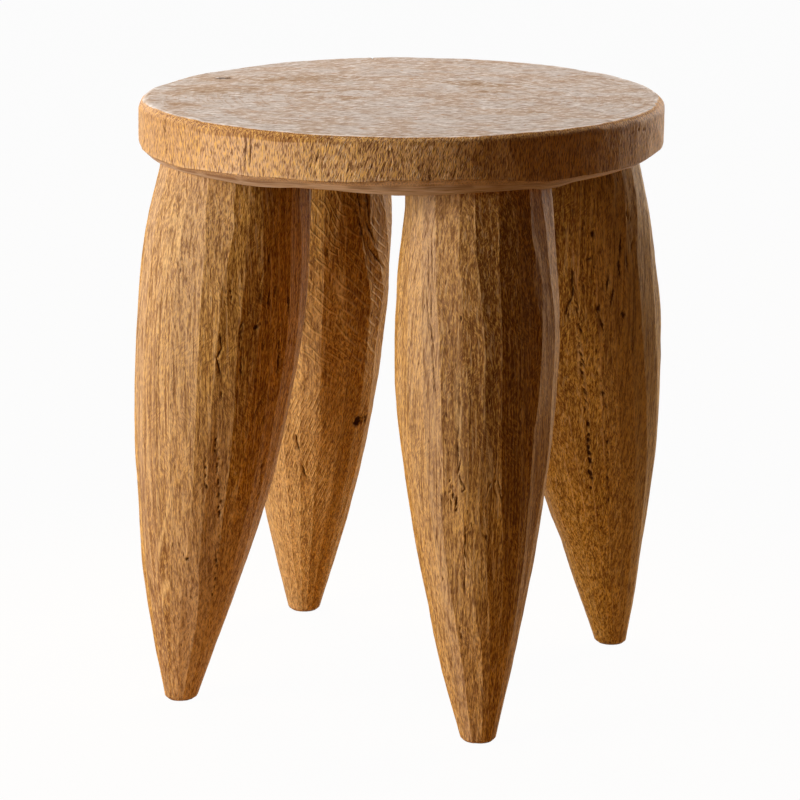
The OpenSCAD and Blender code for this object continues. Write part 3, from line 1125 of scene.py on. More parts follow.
def disc_sheet(name, columns, count, outer, height, sink):
    turns = around(columns)
    rings = np.stack([ring_of(turns, np.full(columns, outer * share), np.full(columns, height))
                      for share in np.linspace(0, 1, count + 1)])
    rings[..., 2] += sink(rings)
    rings[:, -1] = rings[:, 0]
    masks = {kind: np.zeros(rings.shape[:2]) for kind in SEAT_MASKS}
    if height == SEAT_TOP:
        masks["bleach"] += 1
        masks["stain"] = stained(rings)
    across = np.linspace(0, 2 * math.pi, columns + 1) * SEAT_RADIUS
    return rolled_sheet(name, rings, masks, across, path_lengths(rings))


def turned_axes(x, y, angle):
    return x * math.cos(angle) + y * math.sin(angle), y * math.cos(angle) - x * math.sin(angle)


def stained(points):
    """Brown patches of the top with ragged ends."""
    ragged = 1 + 0.22 * ripples(points, (0.02, 0.008, 1), 74)
    right, back = (way / MM for way in turned_axes(points[..., 0], points[..., 1], TURN_OF_VIEW))
    total = np.zeros(points.shape[:-1])
    for x, y, half_length, half_width, lean in STAINS:
        along, across = turned_axes(right - x, back - y, math.radians(lean))
        ovals = np.hypot(along / half_length, across / half_width)
        total = np.maximum(total, eased(-ovals * ragged, *STAIN_EDGE))
    worn = nearness(np.arctan2(points[..., 1], points[..., 0]), 170, 60) * eased(-right, 60, 150)
    return np.maximum(total, 0.4 * worn * np.clip(ragged, 0, 1.2))


def underside_rise(points):
    """The underside is hewn hollow here and there, but stays flat where the necks meet it."""
    rise = np.abs(ripples(points, (0.05, 0.05, 1), 71)) * UNDER_HOLLOW
    for leg in legs.values():
        rise = rise * eased(from_neck(points, leg), *CALM_NECK)
    return rise * eased(-np.hypot(points[..., 0], points[..., 1]), *CALM_RIM)


def band_sheet():
    """The band, with masks for its bleached top, its pale edges, partly a painted highlight, and the dark
    line of the rim and the chamfer, partly painted shade.
    """
    rings = np.stack([ring_of(band_turns, r, h) for r, h in zip(band_radii, band_heights)])
    masks = {kind: np.zeros(rings.shape[:2]) for kind in SEAT_MASKS}
    turns = np.append(band_turns, band_turns[0])
    start, arris, end = RIM_START, CHAMFER_START, CHAMFER_END + 1
    broken = 0.2 + 0.8 * eased(ripples(rings[start], (0.012, 0.012, 1), 75), -1.0, 0.6)
    # The pale lip of the top: partly a worn edge, partly a painted highlight.
    white = broken * by_turn(LIP_WHITE, turns)
    reach = by_turn(BLEACH_REACH, turns) + 0.2 * ripples(rings[start], (0.01, 0.01, 1), 76)
    masks["bleach"][:start] = 1
    masks["worn_lip_and_painted_highlight"][start - 1] = 0.5 * white
    for row in range(start, SIDE_START + 2):
        past = row - start - reach
        line = by_turn(RIM_LINE, turns) * np.clip(1.5 - np.abs(past - 1.6), 0, 1)
        masks["bleach"][row] = np.clip(0.5 - past, 0, 1)
        masks["worn_lip_and_painted_highlight"][row] = white * np.clip(1.5 - np.abs(past + 0.5), 0, 1)
        # Rim mask: partly painted shade on the rounded rim.
        masks["rim"][row] = np.maximum(line, by_turn(RIM_DARK, turns) * (past > 0.5))
    # A painted highlight along the arris above the chamfer.
    masks["worn_lip_and_painted_highlight"][arris - 2:arris] = 0.35 * broken
    # A dark line just under the arris, and the chamfer's dark, both partly painted shade.
    masks["rim"][arris:arris + 2] = 0.6 * broken
    masks["rim"][arris + 2:end] = by_turn(CHAMFER_DARK, turns)
    masks["rim"][arris + 3] += 0.6 * eased(ripples(rings[start], (0.02, 0.02, 1), 78), -1.0, 0.4)
    masks["chamfer"][arris + 1:arris + 3] = 0.45
    masks["chamfer"][arris + 3:end] = 1
    masks["torn"] = np.concatenate([band_side, band_side[:, :1]], axis=1)
    swept = np.radians(2.5) * ripples(rings, (0.02, 0.02, 0.02), 77)
    # Pale and shade by turn: partly greyed and darker wood, partly a painted highlight and a painted shade.
    masks["pale"] = by_turn(SIDE_PALE, turns + swept)
    masks["dark_wood_and_painted_shade"] = by_turn(SIDE_SHADE, turns + swept)
    across = np.linspace(0, 2 * math.pi, BAND_COLUMNS + 1) * SEAT_RADIUS
    return rolled_sheet("seat_edge", rings, masks, across, path_lengths(rings))


sheets = [
    band_sheet(),
    disc_sheet("seat_top", TOP_COLUMNS, TOP_ROWS, BAND_INNER - SHEET_GAP, SEAT_TOP, lambda p: -on_top(p)),
    disc_sheet("seat_under", UNDER_COLUMNS, UNDER_ROWS, BAND_INNER - SHEET_GAP, LEG_HEIGHT, underside_rise),
]
print("sheet faces:", [len(mesh.polygons) for mesh in sheets])

# %% [markdown]
# Now the sheets go into one bmesh, and the rings that face each other are bridged.

# %% Joining the sheets
def open_loop(shell, radius, level):
    """The open edges of the shell that lie near a radius and a height."""
    found = []
    for edge in shell.edges:
        if edge.is_boundary:
            middle = (edge.verts[0].co + edge.verts[1].co) / 2
            if abs(middle.xy.length - radius) < MM and abs(middle.z - level) < 4 * MM:
                found.append(edge)
    return found


def joined_seat():
    shell = bmesh.new()
    for mesh in sheets:
        shell.from_mesh(mesh)
    bmesh.ops.remove_doubles(shell, verts=shell.verts, dist=WELD)
    for level in (SEAT_TOP, LEG_HEIGHT):
        loops = open_loop(shell, BAND_INNER, level) + open_loop(shell, BAND_INNER - SHEET_GAP, level)
        bmesh.ops.bridge_loops(shell, edges=loops)
    bmesh.ops.recalc_face_normals(shell, faces=shell.faces)
    return shell


seat_shell = joined_seat()
print("open edges left:", sum(edge.is_boundary for edge in seat_shell.edges))

# %% [markdown]
# The seat's marks are drying cracks in its side, chips in its top edge and small holes in the
# top. Each row is what the mark function takes. A place on the side is a turn and a height, and
# a place on the top is a turn and a distance from the middle. At last the four sockets are
# bored, as deep and as wide as the frame says.

# %% Marks on the seat
def side_mark(one):
    outwards, sideways = ways(math.radians(one["turn"]))
    point = outwards * (SEAT_RADIUS - 0.5 * MM) + Vector((0, 0, one["height"] * MM))
    return placed(point, Vector((0, 0, -1)), sideways, one)


def top_mark(one):
    """Here the mark's height is its distance from the seat's middle."""
    outwards, sideways = ways(math.radians(one["turn"]))
    point = outwards * one["height"] * MM + Vector((0, 0, SEAT_TOP))
    point.z -= float(on_top(np.array(point)))
    return placed(point, outwards, sideways, one)


SIDE_MARKS = [
    (-129.5, 390, 15, 1.3, 1.3, 8), (-128.9, 377, 12, 0.9, 0.8, 12), (-103.0, 384, 26, 0.9, 0.9, 5),
    (-101.7, 385, 20, 0.9, 0.9, 4), (-104, 376, 9, 0.8, 0.5, 6), (-87.5, 382, 9, 0.8, 0.5, 14),
    (-86.3, 385, 10, 0.9, 0.7, 16), (-85.2, 382, 8, 0.8, 0.5, 18), (-86.8, 375, 6, 0.7, 0.4, 10),
    (-79, 381, 7, 0.7, 0.4, 14), (-74, 377, 9, 0.8, 0.5, 12), (-71, 383, 6, 0.8, 0.5, 15),
    (-63, 374, 6, 0.8, 0.6, 10), (-58, 376, 8, 0.9, 0.6, 16), (-8, 391, 3, 2.2, 0.6, 60),
    (-5, 390, 3.5, 2.0, 0.6, 50), (-11, 390, 4, 1.2, 0.5, 70), (17, 389, 12, 0.7, 0.7, -6),
    (9, 393, 7, 0.6, 0.6, 15), (60, 380, 18, 0.8, 0.9), (112, 384, 22, 0.8, 1.0, 4),
    (150, 378, 14, 0.8, 0.7), (178, 386, 16, 0.8, 0.9, -5), (205, 380, 12, 0.8, 0.8),
]
TOP_MARKS = [
    (169.8, 142, 9, 9, 3), (168.6, 31, 1.8, 2.4, 1.0), (-52, 96, 2, 3, 0.6), (64, 70, 1.8, 2.4, 0.9),
    (38, 106, 2.4, 4, 1.1), (100, 120, 2, 3.5, 1.0), (20, 105, 2, 2, 0.8), (33, 165, 11, 0.9, 0.8, 20),
    (118, 169, 12, 1.0, 0.9), (-80, 150, 9, 0.8, 0.5, -40), (-20, 60, 1.5, 1.8, 0.7),
    (140, 50, 1.5, 2, 0.7),
]
BORE_SIDES = 96


def drill_sockets(piece):
    """Bores the four blind sockets with a Boolean, which is then applied."""
    bores = bmesh.new()
    for leg in legs.values():
        depth = leg["socket_top"] - LEG_HEIGHT + MM
        place = Matrix.Translation((leg["neck"].x, leg["neck"].y, LEG_HEIGHT - MM + depth / 2))
        bmesh.ops.create_cone(bores, cap_ends=True, segments=BORE_SIDES, radius1=leg["socket"],
                              radius2=leg["socket"], depth=depth, matrix=place)
    mesh = as_mesh(bores, "bores")
    tool = in_scene("bores", mesh)
    drill = piece.modifiers.new("sockets", "BOOLEAN")
    drill.operation = "DIFFERENCE"
    drill.solver = "MANIFOLD"
    drill.object = tool
    bored = bpy.data.meshes.new_from_object(piece.evaluated_get(bpy.context.evaluated_depsgraph_get()))
    piece.modifiers.clear()
    piece.data = bored
    bpy.data.objects.remove(tool)
    bpy.data.meshes.remove(mesh)


seat_marks = [side_mark(mark(*row)) for row in SIDE_MARKS] + [top_mark(mark(*row)) for row in TOP_MARKS]
cut_marks(seat_shell, seat_marks)
pieces["seat"] = finished(seat_shell, bpy.data.meshes.new("seat_carved"), "seat")
drill_sockets(pieces["seat"])
for sheet in sheets:
    bpy.data.meshes.remove(sheet)
print("seat triangles:", sum(len(face.vertices) - 2 for face in pieces["seat"].data.polygons))

# %% [markdown]
# ## Material tools
# A procedural material is a net of nodes. The class below keeps such nets short to write: it
# wraps a node tree and has one short name for each kind of node that comes up again and again.
# A coat is a colour laid over a tone by a share from 0 to 1, which is how all the woods here
# are built up.

# %% Material tools
NOWHERE = (0, 0, 0)
LIGHT_FIBRE = (246, 190, 98)
DARK_FIBRE = (98, 50, 8)
FLECK_START = 0.15


class Net:
    """A net of shader nodes."""

    def __init__(self, tree):
        self.tree = tree

    def plug(self, value, socket):
        """Gives a socket a link or a plain value."""
        if isinstance(value, bpy.types.NodeSocket):
            self.tree.links.new(value, socket)
        else:
            socket.default_value = value

    def add(self, kind, inputs=None, **settings):
        """Adds a node with its settings and fills its inputs."""
        made = self.tree.nodes.new("ShaderNode" + kind)
        for key, value in settings.items():
            setattr(made, key, value)
        for key, value in (inputs or {}).items():
            self.plug(value, made.inputs[key])
        return made

    def use(self, group, **inputs):
        """Adds a node group and returns its outputs."""
        return self.add("Group", inputs, node_tree=group).outputs

    def maths(self, operation, first, second=0.0):
        return self.add("Math", {0: first, 1: second}, operation=operation).outputs[0]

    def times(self, first, second):
        return self.maths("MULTIPLY", first, second)

    def plus(self, first, *others):
        for other in others:
            first = self.maths("ADD", first, other)
        return first

    def vector(self, operation, first, second=NOWHERE, third=NOWHERE):
        made = self.add("VectorMath", {0: first, 1: second, 2: third}, operation=operation)
        return made.outputs["Value" if operation == "LENGTH" else "Vector"]

    def remap(self, value, low, high, to_low=0.0, to_high=1.0):
        """Stretches the range from low to high over another, with smooth ends."""
        inputs = {"Value": value, "From Min": low, "From Max": high, "To Min": to_low, "To Max": to_high}
        return self.add("MapRange", inputs, interpolation_type="SMOOTHSTEP").outputs[0]

    def between(self, share, first, second):
        """Mixes two numbers."""
        return self.add("Mix", {0: share, 2: first, 3: second}, data_type="FLOAT").outputs[0]

    def mix(self, share, first, second, how="MIX"):
        """Mixes two colours."""
        return self.add("Mix", {0: share, 6: first, 7: second}, data_type="RGBA", blend_type=how).outputs[2]

    def fitted(self, place, size, shift=0.0):
        """A place counted in features of some size, along X, Y and Z."""
        return self.vector("MULTIPLY_ADD", place, [1 / s for s in size], [shift] * 3)

    def noise(self, place, size, detail=2.0, rough=0.5, shift=0.0, swirl=0.0):
        """Noise from 0 to 1 whose features are about size metres along X, Y and Z."""
        inputs = {"Vector": self.fitted(place, size, shift), "Scale": 1.0, "Detail": detail,
                  "Roughness": rough, "Distortion": swirl}
        return self.add("TexNoise", inputs).outputs["Fac"]

    def cells(self, place, size, dimensions="3D"):
        """Scattered points: how far the nearest is, in cells, and a number drawn by lot for it."""
        inputs = {"Vector": self.fitted(place, size), "Scale": 1.0, "Randomness": 1.0}
        made = self.add("TexVoronoi", inputs, voronoi_dimensions=dimensions)
        return made.outputs["Distance"], self.add("SeparateColor", {0: made.outputs["Color"]}).outputs[0]

    def turned(self, place, angle):
        return self.add("Mapping", {"Vector": place, "Rotation": (0, 0, angle)}).outputs[0]

    def apart(self, place):
        """The three numbers of a place."""
        return self.add("SeparateXYZ", {0: place}).outputs

    def mask(self, name):
        """A mask that the mesh carries."""
        return self.add("Attribute", attribute_name=name).outputs["Fac"]

    def place(self):
        """The place in space, in metres."""
        return self.add("TexCoord").outputs["Object"]

    def unrolled(self):
        """The place on the unrolled surface, in metres."""
        return self.add("UVMap", uv_map="unrolled").outputs[0]

    def coat(self, tone, share, paint, how="MIX"):
        """Lays a colour, as a painter reads it off a screen, over a tone."""
        return self.mix(share, tone, colour(*paint), how)

    def flecked(self, tone, value, spread, light, dark):
        """Lightens the tone where a noise is high and darkens it where the noise is low."""
        near = spread * FLECK_START
        tone = self.coat(tone, self.remap(value, 0.5 + near, 0.5 + spread, 0.0, light), LIGHT_FIBRE)
        return self.coat(tone, self.remap(value, 0.5 - near, 0.5 - spread, 0.0, dark), DARK_FIBRE)


def colour(red, green, blue):
    """A colour from 0 to 255, turned into linear light."""
    def linear(value):
        value = value / 255
        return value / 12.92 if value <= 0.04045 else ((value + 0.055) / 1.055) ** 2.4
    return (linear(red), linear(green), linear(blue), 1)


def new_group(name, **inputs):
    """An empty node group with named inputs."""
    net = Net(bpy.data.node_groups.new(name, "ShaderNodeTree"))
    for label, kind in inputs.items():
        net.tree.interface.new_socket(label, in_out="INPUT", socket_type="NodeSocket" + kind)
    return net, net.tree.nodes.new("NodeGroupInput").outputs


def closed_group(net, results):
    """Gives a group its outputs, which are all plain numbers."""
    for label in results:
        net.tree.interface.new_socket(label, in_out="OUTPUT", socket_type="NodeSocketFloat")
    end = net.tree.nodes.new("NodeGroupOutput")
    for label, value in results.items():
        net.plug(value, end.inputs[label])
    return net.tree


print("tan in linear light:", [round(v, 3) for v in colour(200, 150, 100)])

# %% [markdown]
# ## Log grain
# All pieces are cut from one upright log, so the grain is a solid pattern that fills space:
# fibres run along Z, and growth rings go round a pith near the middle of the seat. The group
# reads Object coordinates, which here are real metres, and gives masks that every material
# mixes in its own way: speckle, fine speckle, long lines, fibre, broad streaks, patches, pores
# and rings. A wood texture could be painted on a UV map instead, but then the top and the sides
# would not match at the edge.

# %% Log grain
PITH = (22 * MM, -4 * MM, 0)
RING_WIDTH = 4.2 * MM
RING_BEND = 16 * MM
GRAIN_NOISES = {
    "Speckle": {"size": (1.3 * MM, 1.3 * MM, 5 * MM), "rough": 0.6, "swirl": 0.3},
    "Fine": {"size": (0.8 * MM, 0.8 * MM, 4 * MM), "detail": 1.0, "rough": 0.6, "shift": 2.0, "swirl": 0.2},
    "Lines": {"size": (1.7 * MM, 1.7 * MM, 60 * MM), "rough": 0.6, "shift": 5.0, "swirl": 0.2},
    "Fibre": {"size": (0.85 * MM, 0.85 * MM, 15 * MM), "detail": 3.0, "rough": 0.6},
    "Streaks": {"size": (9 * MM, 9 * MM, 190 * MM), "detail": 3.0, "rough": 0.6, "swirl": 0.4},
    "Patches": {"size": (42 * MM, 42 * MM, 110 * MM)},
}


def from_pith(net, place):
    """The level way out from the pith, and its length."""
    out = net.vector("MULTIPLY_ADD", net.vector("SUBTRACT", place, PITH), (1, 1, 0))
    return out, net.vector("LENGTH", out)


def log_grain():
    net, given = new_group("log_grain", Position="Vector", Shift="Float")
    place = given["Position"]
    moved = net.add("CombineXYZ", {axis: given["Shift"] for axis in "XYZ"}).outputs[0]
    here = net.vector("ADD", place, moved)
    masks = {label: net.noise(here, **look) for label, look in GRAIN_NOISES.items()}
    away, drawn = net.cells(here, (2.4 * MM, 2.4 * MM, 11 * MM))
    gate = net.remap(masks["Patches"], 0.5, 0.62, 0.93, 0.55)
    masks["Pores"] = net.times(net.remap(away, 0.22, 0.1), net.maths("GREATER_THAN", drawn, gate))
    bend = net.noise(place, (60 * MM, 60 * MM, 300 * MM), detail=1.0)
    bent = net.plus(from_pith(net, place)[1], net.times(bend, RING_BEND))
    share = net.maths("FRACT", net.times(bent, 1 / RING_WIDTH))
    masks["Rings"] = net.times(net.remap(share, 0.25, 0.85), net.remap(share, 1.0, 0.9))
    return closed_group(net, masks)


LOG_GRAIN = log_grain()
print("log grain nodes:", len(LOG_GRAIN.nodes))

# %% [markdown]
# ## Tool marks
# Where the blade chattered it left slanting ridges, and where it cut across the fibres it left
# a fine hatching. Both follow the surface and not the wood, so they read the UV map, which is
# the surface unrolled, in metres. A noise breaks the ridges into short strokes, and another
# chooses where the hatching leans to the right, to the left, or stands upright. The adze tore
# the seat's side in short leaning strokes with pale and dark fibres among them.

# %% Tool marks
HATCH_LEANS = (4, 40, -42)
TEAR_LEAN = 0.35


def chatter_ridges():
    net, given = new_group("chatter_ridges", Unrolled="Vector", Spacing="Float", Lean="Float")
    place = given["Unrolled"]
    apart = net.apart(place)
    diagonal = net.plus(apart["Y"], net.times(apart["X"], given["Lean"]))
    warp = net.noise(place, (30 * MM, 40 * MM, 1), detail=1.0)
    counted = net.plus(net.maths("DIVIDE", diagonal, given["Spacing"]), net.times(warp, 2.6))
    line = net.remap(net.maths("PINGPONG", counted, 0.5), 0.22, 0.03)
    broken = net.remap(net.noise(place, (9 * MM, 9 * MM, 1), detail=1.0, shift=3.0), 0.4, 0.55)
    return closed_group(net, {"Ridges": net.times(line, broken)})


def hatching():
    net, given = new_group("hatching", Unrolled="Vector")
    place = given["Unrolled"]
    upright, right, left = (
        net.noise(net.turned(place, math.radians(lean)), (0.9 * MM, 4 * MM, 1), rough=0.6)
        for lean in HATCH_LEANS)
    chooser = net.noise(place, (26 * MM, 40 * MM, 1), shift=7.0)
    mixed = net.between(net.remap(chooser, 0.53, 0.58), upright, right)
    return closed_group(net, {"Hatch": net.between(net.remap(chooser, 0.46, 0.41), mixed, left)})


def torn_fibres():
    net, given = new_group("torn_fibres", Unrolled="Vector")
    apart = net.apart(given["Unrolled"])
    leaned = net.plus(apart["X"], net.times(apart["Y"], TEAR_LEAN))
    slanted = net.add("CombineXYZ", {"X": leaned, "Y": apart["Y"]}).outputs[0]
    strokes = net.noise(slanted, (0.85 * MM, 5 * MM, 1), rough=0.6, shift=1.0, swirl=0.3)
    away, drawn = net.cells(slanted, (1.0 * MM, 6 * MM, 1), "2D")
    near = net.remap(away, 0.4, 0.12)
    return closed_group(net, {"Strokes": strokes, "Light": net.times(near, net.remap(drawn, 0.7, 0.85)),
                              "Dark": net.times(near, net.remap(drawn, 0.28, 0.12))})


CHATTER_RIDGES = chatter_ridges()
HATCHING = hatching()
TORN_FIBRES = torn_fibres()
print("tool mark nodes:", [len(group.nodes) for group in (CHATTER_RIDGES, HATCHING, TORN_FIBRES)])

# %% [markdown]
# ## Wood of the legs
# The legs are tan to orange-brown, of dry wood with hardly any gloss. Broad streaks and patches
# shift the colour between a greyed tan and a warm orange, and the speckle of cut fibres lightens
# and darkens it. The two masks of the flats, pale and shade, grey and darken it, partly as the
# wood's own tone and partly as a painted highlight and a painted shade. Long dark and light lines
# run over that. Pores are nearly black, pits get a painted shade that is nearly black where they
# are deep, and the ridges between flats are rubbed paler and partly carry a painted highlight.
# The same masks feed the bump, in real heights, and the roughness. A greyed flat is also smoother.
# Each leg has its own shift in the log, a measure of its chatter marks, and a cast, a faint tint,
# because no two legs have the same colour.

# %% Wood of the legs
DRY_GLOSS = 0.05
CHATTER_SPACING = 8.5 * MM
BELLY_LEAN = 1.0
SHIN_LEAN = -2.3
SHIN_FADE = (190 * MM, 170 * MM)
LEG_RELIEF = 0.65 * MM
# shade is partly a painted shade, greyed and veil partly a painted highlight, pit a painted shade in
# hollows, ridge partly a painted highlight.
LEG_PAINT = {
    "tan": (182, 128, 56), "orange": (208, 146, 54), "patch": (178, 128, 72), "ring": (146, 88, 32),
    "greyed_and_painted_highlight": (212, 172, 132), "dark_wood_and_painted_shade": (172, 144, 98), "greyed_veil_and_painted_sheen": (202, 164, 130),
    "dark line": (104, 58, 16), "light line": (240, 196, 140), "ridge": (244, 198, 136),
    "chatter": (226, 180, 112), "pore": (84, 44, 14), "painted_pit_shade": (62, 30, 9),
}


def grain_in(net, shift):
    return net.use(LOG_GRAIN, Position=net.place(), Shift=shift)


def chatter_in(net):
    """Ridges that fall to the right on the belly, and steep ones that rise to the right below it."""
    low = net.remap(net.apart(net.place())["Z"], *SHIN_FADE)
    belly, shin = (net.use(CHATTER_RIDGES, Unrolled=net.unrolled(), Spacing=CHATTER_SPACING, Lean=lean)[0]
                   for lean in (BELLY_LEAN, SHIN_LEAN))
    return net.between(low, belly, shin)


def new_material(name):
    material = bpy.data.materials.new(name)
    material.use_nodes = True
    return material, Net(material.node_tree)


def weighed(net, *parts):
    """A sum of masks, each times its weight."""
    return net.plus(*(net.times(mask, weight) for mask, weight in parts))


def surfaced(net, tone, rough, height, relief):
    """Links a colour, a roughness and a height to the surface, with relief as the full height."""
    surface = net.tree.nodes["Principled BSDF"].inputs
    bump = net.add("Bump", {"Strength": 1.0, "Distance": relief, "Height": height}).outputs[0]
    for value, label in ((tone, "Base Color"), (rough, "Roughness"), (bump, "Normal"),
                         (DRY_GLOSS, "Specular IOR Level")):
        net.plug(value, surface[label])


def streaked(net, grain, paint, patchy):
    """Tan wood with broad orange streaks and some duller patches."""
    tone = net.mix(net.remap(grain["Streaks"], 0.35, 0.65), colour(*paint["tan"]), colour(*paint["orange"]))
    return net.coat(tone, net.remap(grain["Patches"], 0.4, 0.7, 0.0, patchy), paint["patch"])


def leg_tone(net, grain, hatch, pale):
    """The colour of a leg's wood before its pits and ridges."""
    paint = LEG_PAINT
    tone = streaked(net, grain, paint, 0.3)
    tone = net.coat(tone, net.times(grain["Rings"], 0.18), paint["ring"])
    # Greyed wood, and partly a painted highlight on flats that face the key and edge lamps.
    tone = net.coat(tone, net.times(pale, net.remap(grain["Fibre"], 0.42, 0.55, 0.2, 1.0)), paint["greyed_and_painted_highlight"])
    tone = net.flecked(tone, grain["Fibre"], 0.15, 0.6, 0.65)
    tone = net.flecked(tone, grain["Speckle"], 0.2, 0.2, 0.25)
    # Painted shade, partly darker wood: flats that turn away from the key lamp, and low lit flats.
    tone = net.coat(tone, net.mask("dark_wood_and_painted_shade"), paint["dark_wood_and_painted_shade"], how="MULTIPLY")
    tone = net.flecked(tone, hatch, 0.15, 0.5, 0.7)
    tone = net.flecked(tone, grain["Fine"], 0.15, 0.45, 0.7)
    # A pale veil: greyed wood, and partly a painted sheen on flats that face the lamps.
    tone = net.coat(tone, net.times(pale, 0.55), paint["greyed_veil_and_painted_sheen"])
    tone = net.coat(tone, net.remap(grain["Lines"], 0.52, 0.64, 0.0, 0.55), paint["dark line"])
    return net.coat(tone, net.remap(grain["Lines"], 0.46, 0.34, 0.0, 0.35), paint["light line"])


def leg_material(name, shift, chatter, cast):
    material, net = new_material(name)
    grain = grain_in(net, shift)
    hatch = net.use(HATCHING, Unrolled=net.unrolled())["Hatch"]
    painted_pit_shade, pale = net.mask("painted_pit_shade"), net.mask("pale")
    ridges = chatter_in(net)
    broken = net.remap(grain["Speckle"], 0.35, 0.6, 0.3, 0.75)
    tone = net.coat(leg_tone(net, grain, hatch, pale), 1.0, cast, how="MULTIPLY")
    # Ridges between flats: rubbed paler, and partly a painted highlight.
    tone = net.coat(tone, net.times(net.mask("ridge"), broken), LEG_PAINT["ridge"])
    tone = net.coat(tone, net.times(ridges, 0.5 * chatter), LEG_PAINT["chatter"])
    tone = net.coat(tone, net.times(grain["Pores"], 0.7), LEG_PAINT["pore"])
    # Painted shade in the pits and cracks.
    tone = net.coat(tone, net.times(painted_pit_shade, 0.92), LEG_PAINT["painted_pit_shade"])
    rough = net.maths("MAXIMUM", net.remap(grain["Speckle"], 0.3, 0.7, 0.66, 0.5), net.times(painted_pit_shade, 0.9))
    height = weighed(net, (grain["Speckle"], 0.35), (grain["Fine"], 0.3), (hatch, 0.4),
                     (grain["Fibre"], 0.5), (ridges, 0.9 * chatter), (grain["Pores"], -0.6))
    smooth = net.plus(net.times(pale, -0.6), 1.0)
    surfaced(net, tone, rough, net.times(height, smooth), LEG_RELIEF)
    return material


LEG_LOOKS = {
    "leg_front_left": {"shift": 0.0, "chatter": 0.0, "cast": (255, 255, 255)},
    "leg_front_right": {"shift": 0.7, "chatter": 0.15, "cast": (255, 255, 255)},
    "leg_back_right": {"shift": 1.9, "chatter": 0.05, "cast": (249, 255, 240)},
    "leg_back_left": {"shift": 3.1, "chatter": 1.0, "cast": (255, 255, 240)},
}
for name in LEGS:
    pieces[name].data.materials.append(leg_material(name + "_wood", **LEG_LOOKS[name]))
    print(name, "has", pieces[name].data.materials[0].name)

# %% [markdown]
# ## Wood of the seat
# The seat's side is the same wood with its fibres torn up in short, leaning strokes. The chamfer
# was cut along the rim, so its fine strokes run that way. The top is end grain that daily use
# has bleached to a pale grey, with growth rings as soft broad arcs and as thin ones, and a few
# brown patches where the old surface survives. The bleach mask, which the sheets carry, changes
# from one to the other just inside the worn rim.

# %% Wood of the seat
SEAT_RELIEF = 0.5 * MM
# rim and chamfer rim are partly painted shade, shade partly a painted shade, lip and greyed partly a painted
# highlight, pit a painted shade in hollows.
SIDE_PAINT = {
    "tan": (204, 150, 96), "orange": (220, 166, 104), "patch": (198, 150, 102), "greyed_and_painted_highlight": (228, 188, 154),
    "rim": (150, 92, 34), "pale fibre": (252, 220, 176), "dark fibre": (84, 44, 14),
    "worn_lip_and_painted_highlight": (248, 214, 176), "dark_wood_and_painted_shade": (180, 154, 112), "painted_pit_shade": (60, 32, 12),
    "chamfer": (214, 178, 144), "chamfer light": (244, 220, 196), "chamfer dark": (158, 118, 80),
    "chamfer rim": (120, 72, 30),
}
# lip is partly a painted highlight on the top's edge.
TOP_PAINT = {
    "warm": (186, 162, 141), "cool": (196, 181, 168), "broad arc": (172, 138, 108),
    "thin arc": (166, 132, 102), "stain": (160, 126, 90), "light stroke": (230, 220, 210),
    "dark stroke": (138, 110, 86), "spot": (176, 126, 78), "worn_lip_and_painted_highlight": (244, 232, 220),
}


def arcs_in(net, long, wide, detail, shift):
    """Noise in arcs round the pith, long as a share of a turn and wide in metres."""
    out, radius = from_pith(net, net.place())
    level = net.add("CombineXYZ", {"Z": net.maths("DIVIDE", radius, wide)}).outputs[0]
    place = net.vector("MULTIPLY_ADD", net.vector("NORMALIZE", out), [1 / long] * 3, level)
    return net.noise(place, (1, 1, 1), detail=detail, rough=0.6, shift=shift, swirl=0.3)


def side_tone(net, grain, fibres, torn):
    """Orange-tan wood, leathery where the blade cut cleanly, with pale and dark fibres where it tore."""
    paint = SIDE_PAINT
    tone = streaked(net, grain, paint, 0.35)
    tone = net.flecked(tone, grain["Fibre"], 0.18, 0.25, 0.3)
    # Greyed wood, and partly a painted highlight.
    greyed_and_painted_highlight = net.times(net.mask("pale"), net.remap(grain["Fibre"], 0.35, 0.6, 0.5, 0.9))
    tone = net.coat(tone, greyed_and_painted_highlight, paint["greyed_and_painted_highlight"])
    # Painted shade on the rounded rim, partly worn wood.
    tone = net.coat(tone, net.mask("rim"), paint["rim"])
    tone = net.flecked(tone, grain["Speckle"], 0.2, 0.3, 0.3)
    tone = net.flecked(tone, grain["Fine"], 0.16, 0.5, 0.5)
    wild = net.flecked(tone, fibres["Strokes"], 0.15, 0.7, 0.8)
    wild = net.coat(wild, net.times(fibres["Light"], 0.8), paint["pale fibre"])
    wild = net.coat(wild, net.times(fibres["Dark"], 0.9), paint["dark fibre"])
    tone = net.mix(torn, tone, wild)
    # Pale lip: partly a worn edge, partly a painted highlight.
    tone = net.coat(tone, net.times(net.mask("worn_lip_and_painted_highlight"), 0.6), paint["worn_lip_and_painted_highlight"])
    # Painted shade, partly darker wood.
    tone = net.coat(tone, net.mask("dark_wood_and_painted_shade"), paint["dark_wood_and_painted_shade"], how="MULTIPLY")
    return net.flecked(tone, grain["Fine"], 0.15, 0.35, 0.4)


def chamfer_tone(net):
    paint = SIDE_PAINT
    strokes = net.noise(net.unrolled(), (22 * MM, 0.9 * MM, 1), rough=0.6, shift=6.0, swirl=0.2)
    light = net.remap(strokes, 0.5, 0.66, 0.0, 0.6)
    tone = net.mix(light, colour(*paint["chamfer"]), colour(*paint["chamfer light"]))
    tone = net.coat(tone, net.remap(strokes, 0.48, 0.32, 0.0, 0.7), paint["chamfer dark"])
    # Painted shade on the chamfer and just under its arris, partly a dark edge line.
    return net.coat(tone, net.times(net.mask("rim"), 0.8), paint["chamfer rim"])


def slanted_noise(net, place, lean, long, wide, shift):
    """Noise in short strokes that lie across the view and lean by some degrees."""
    turned = net.turned(place, -TURN_OF_VIEW - math.radians(lean))
    return net.noise(turned, (long, wide, 1), rough=0.65, shift=shift)


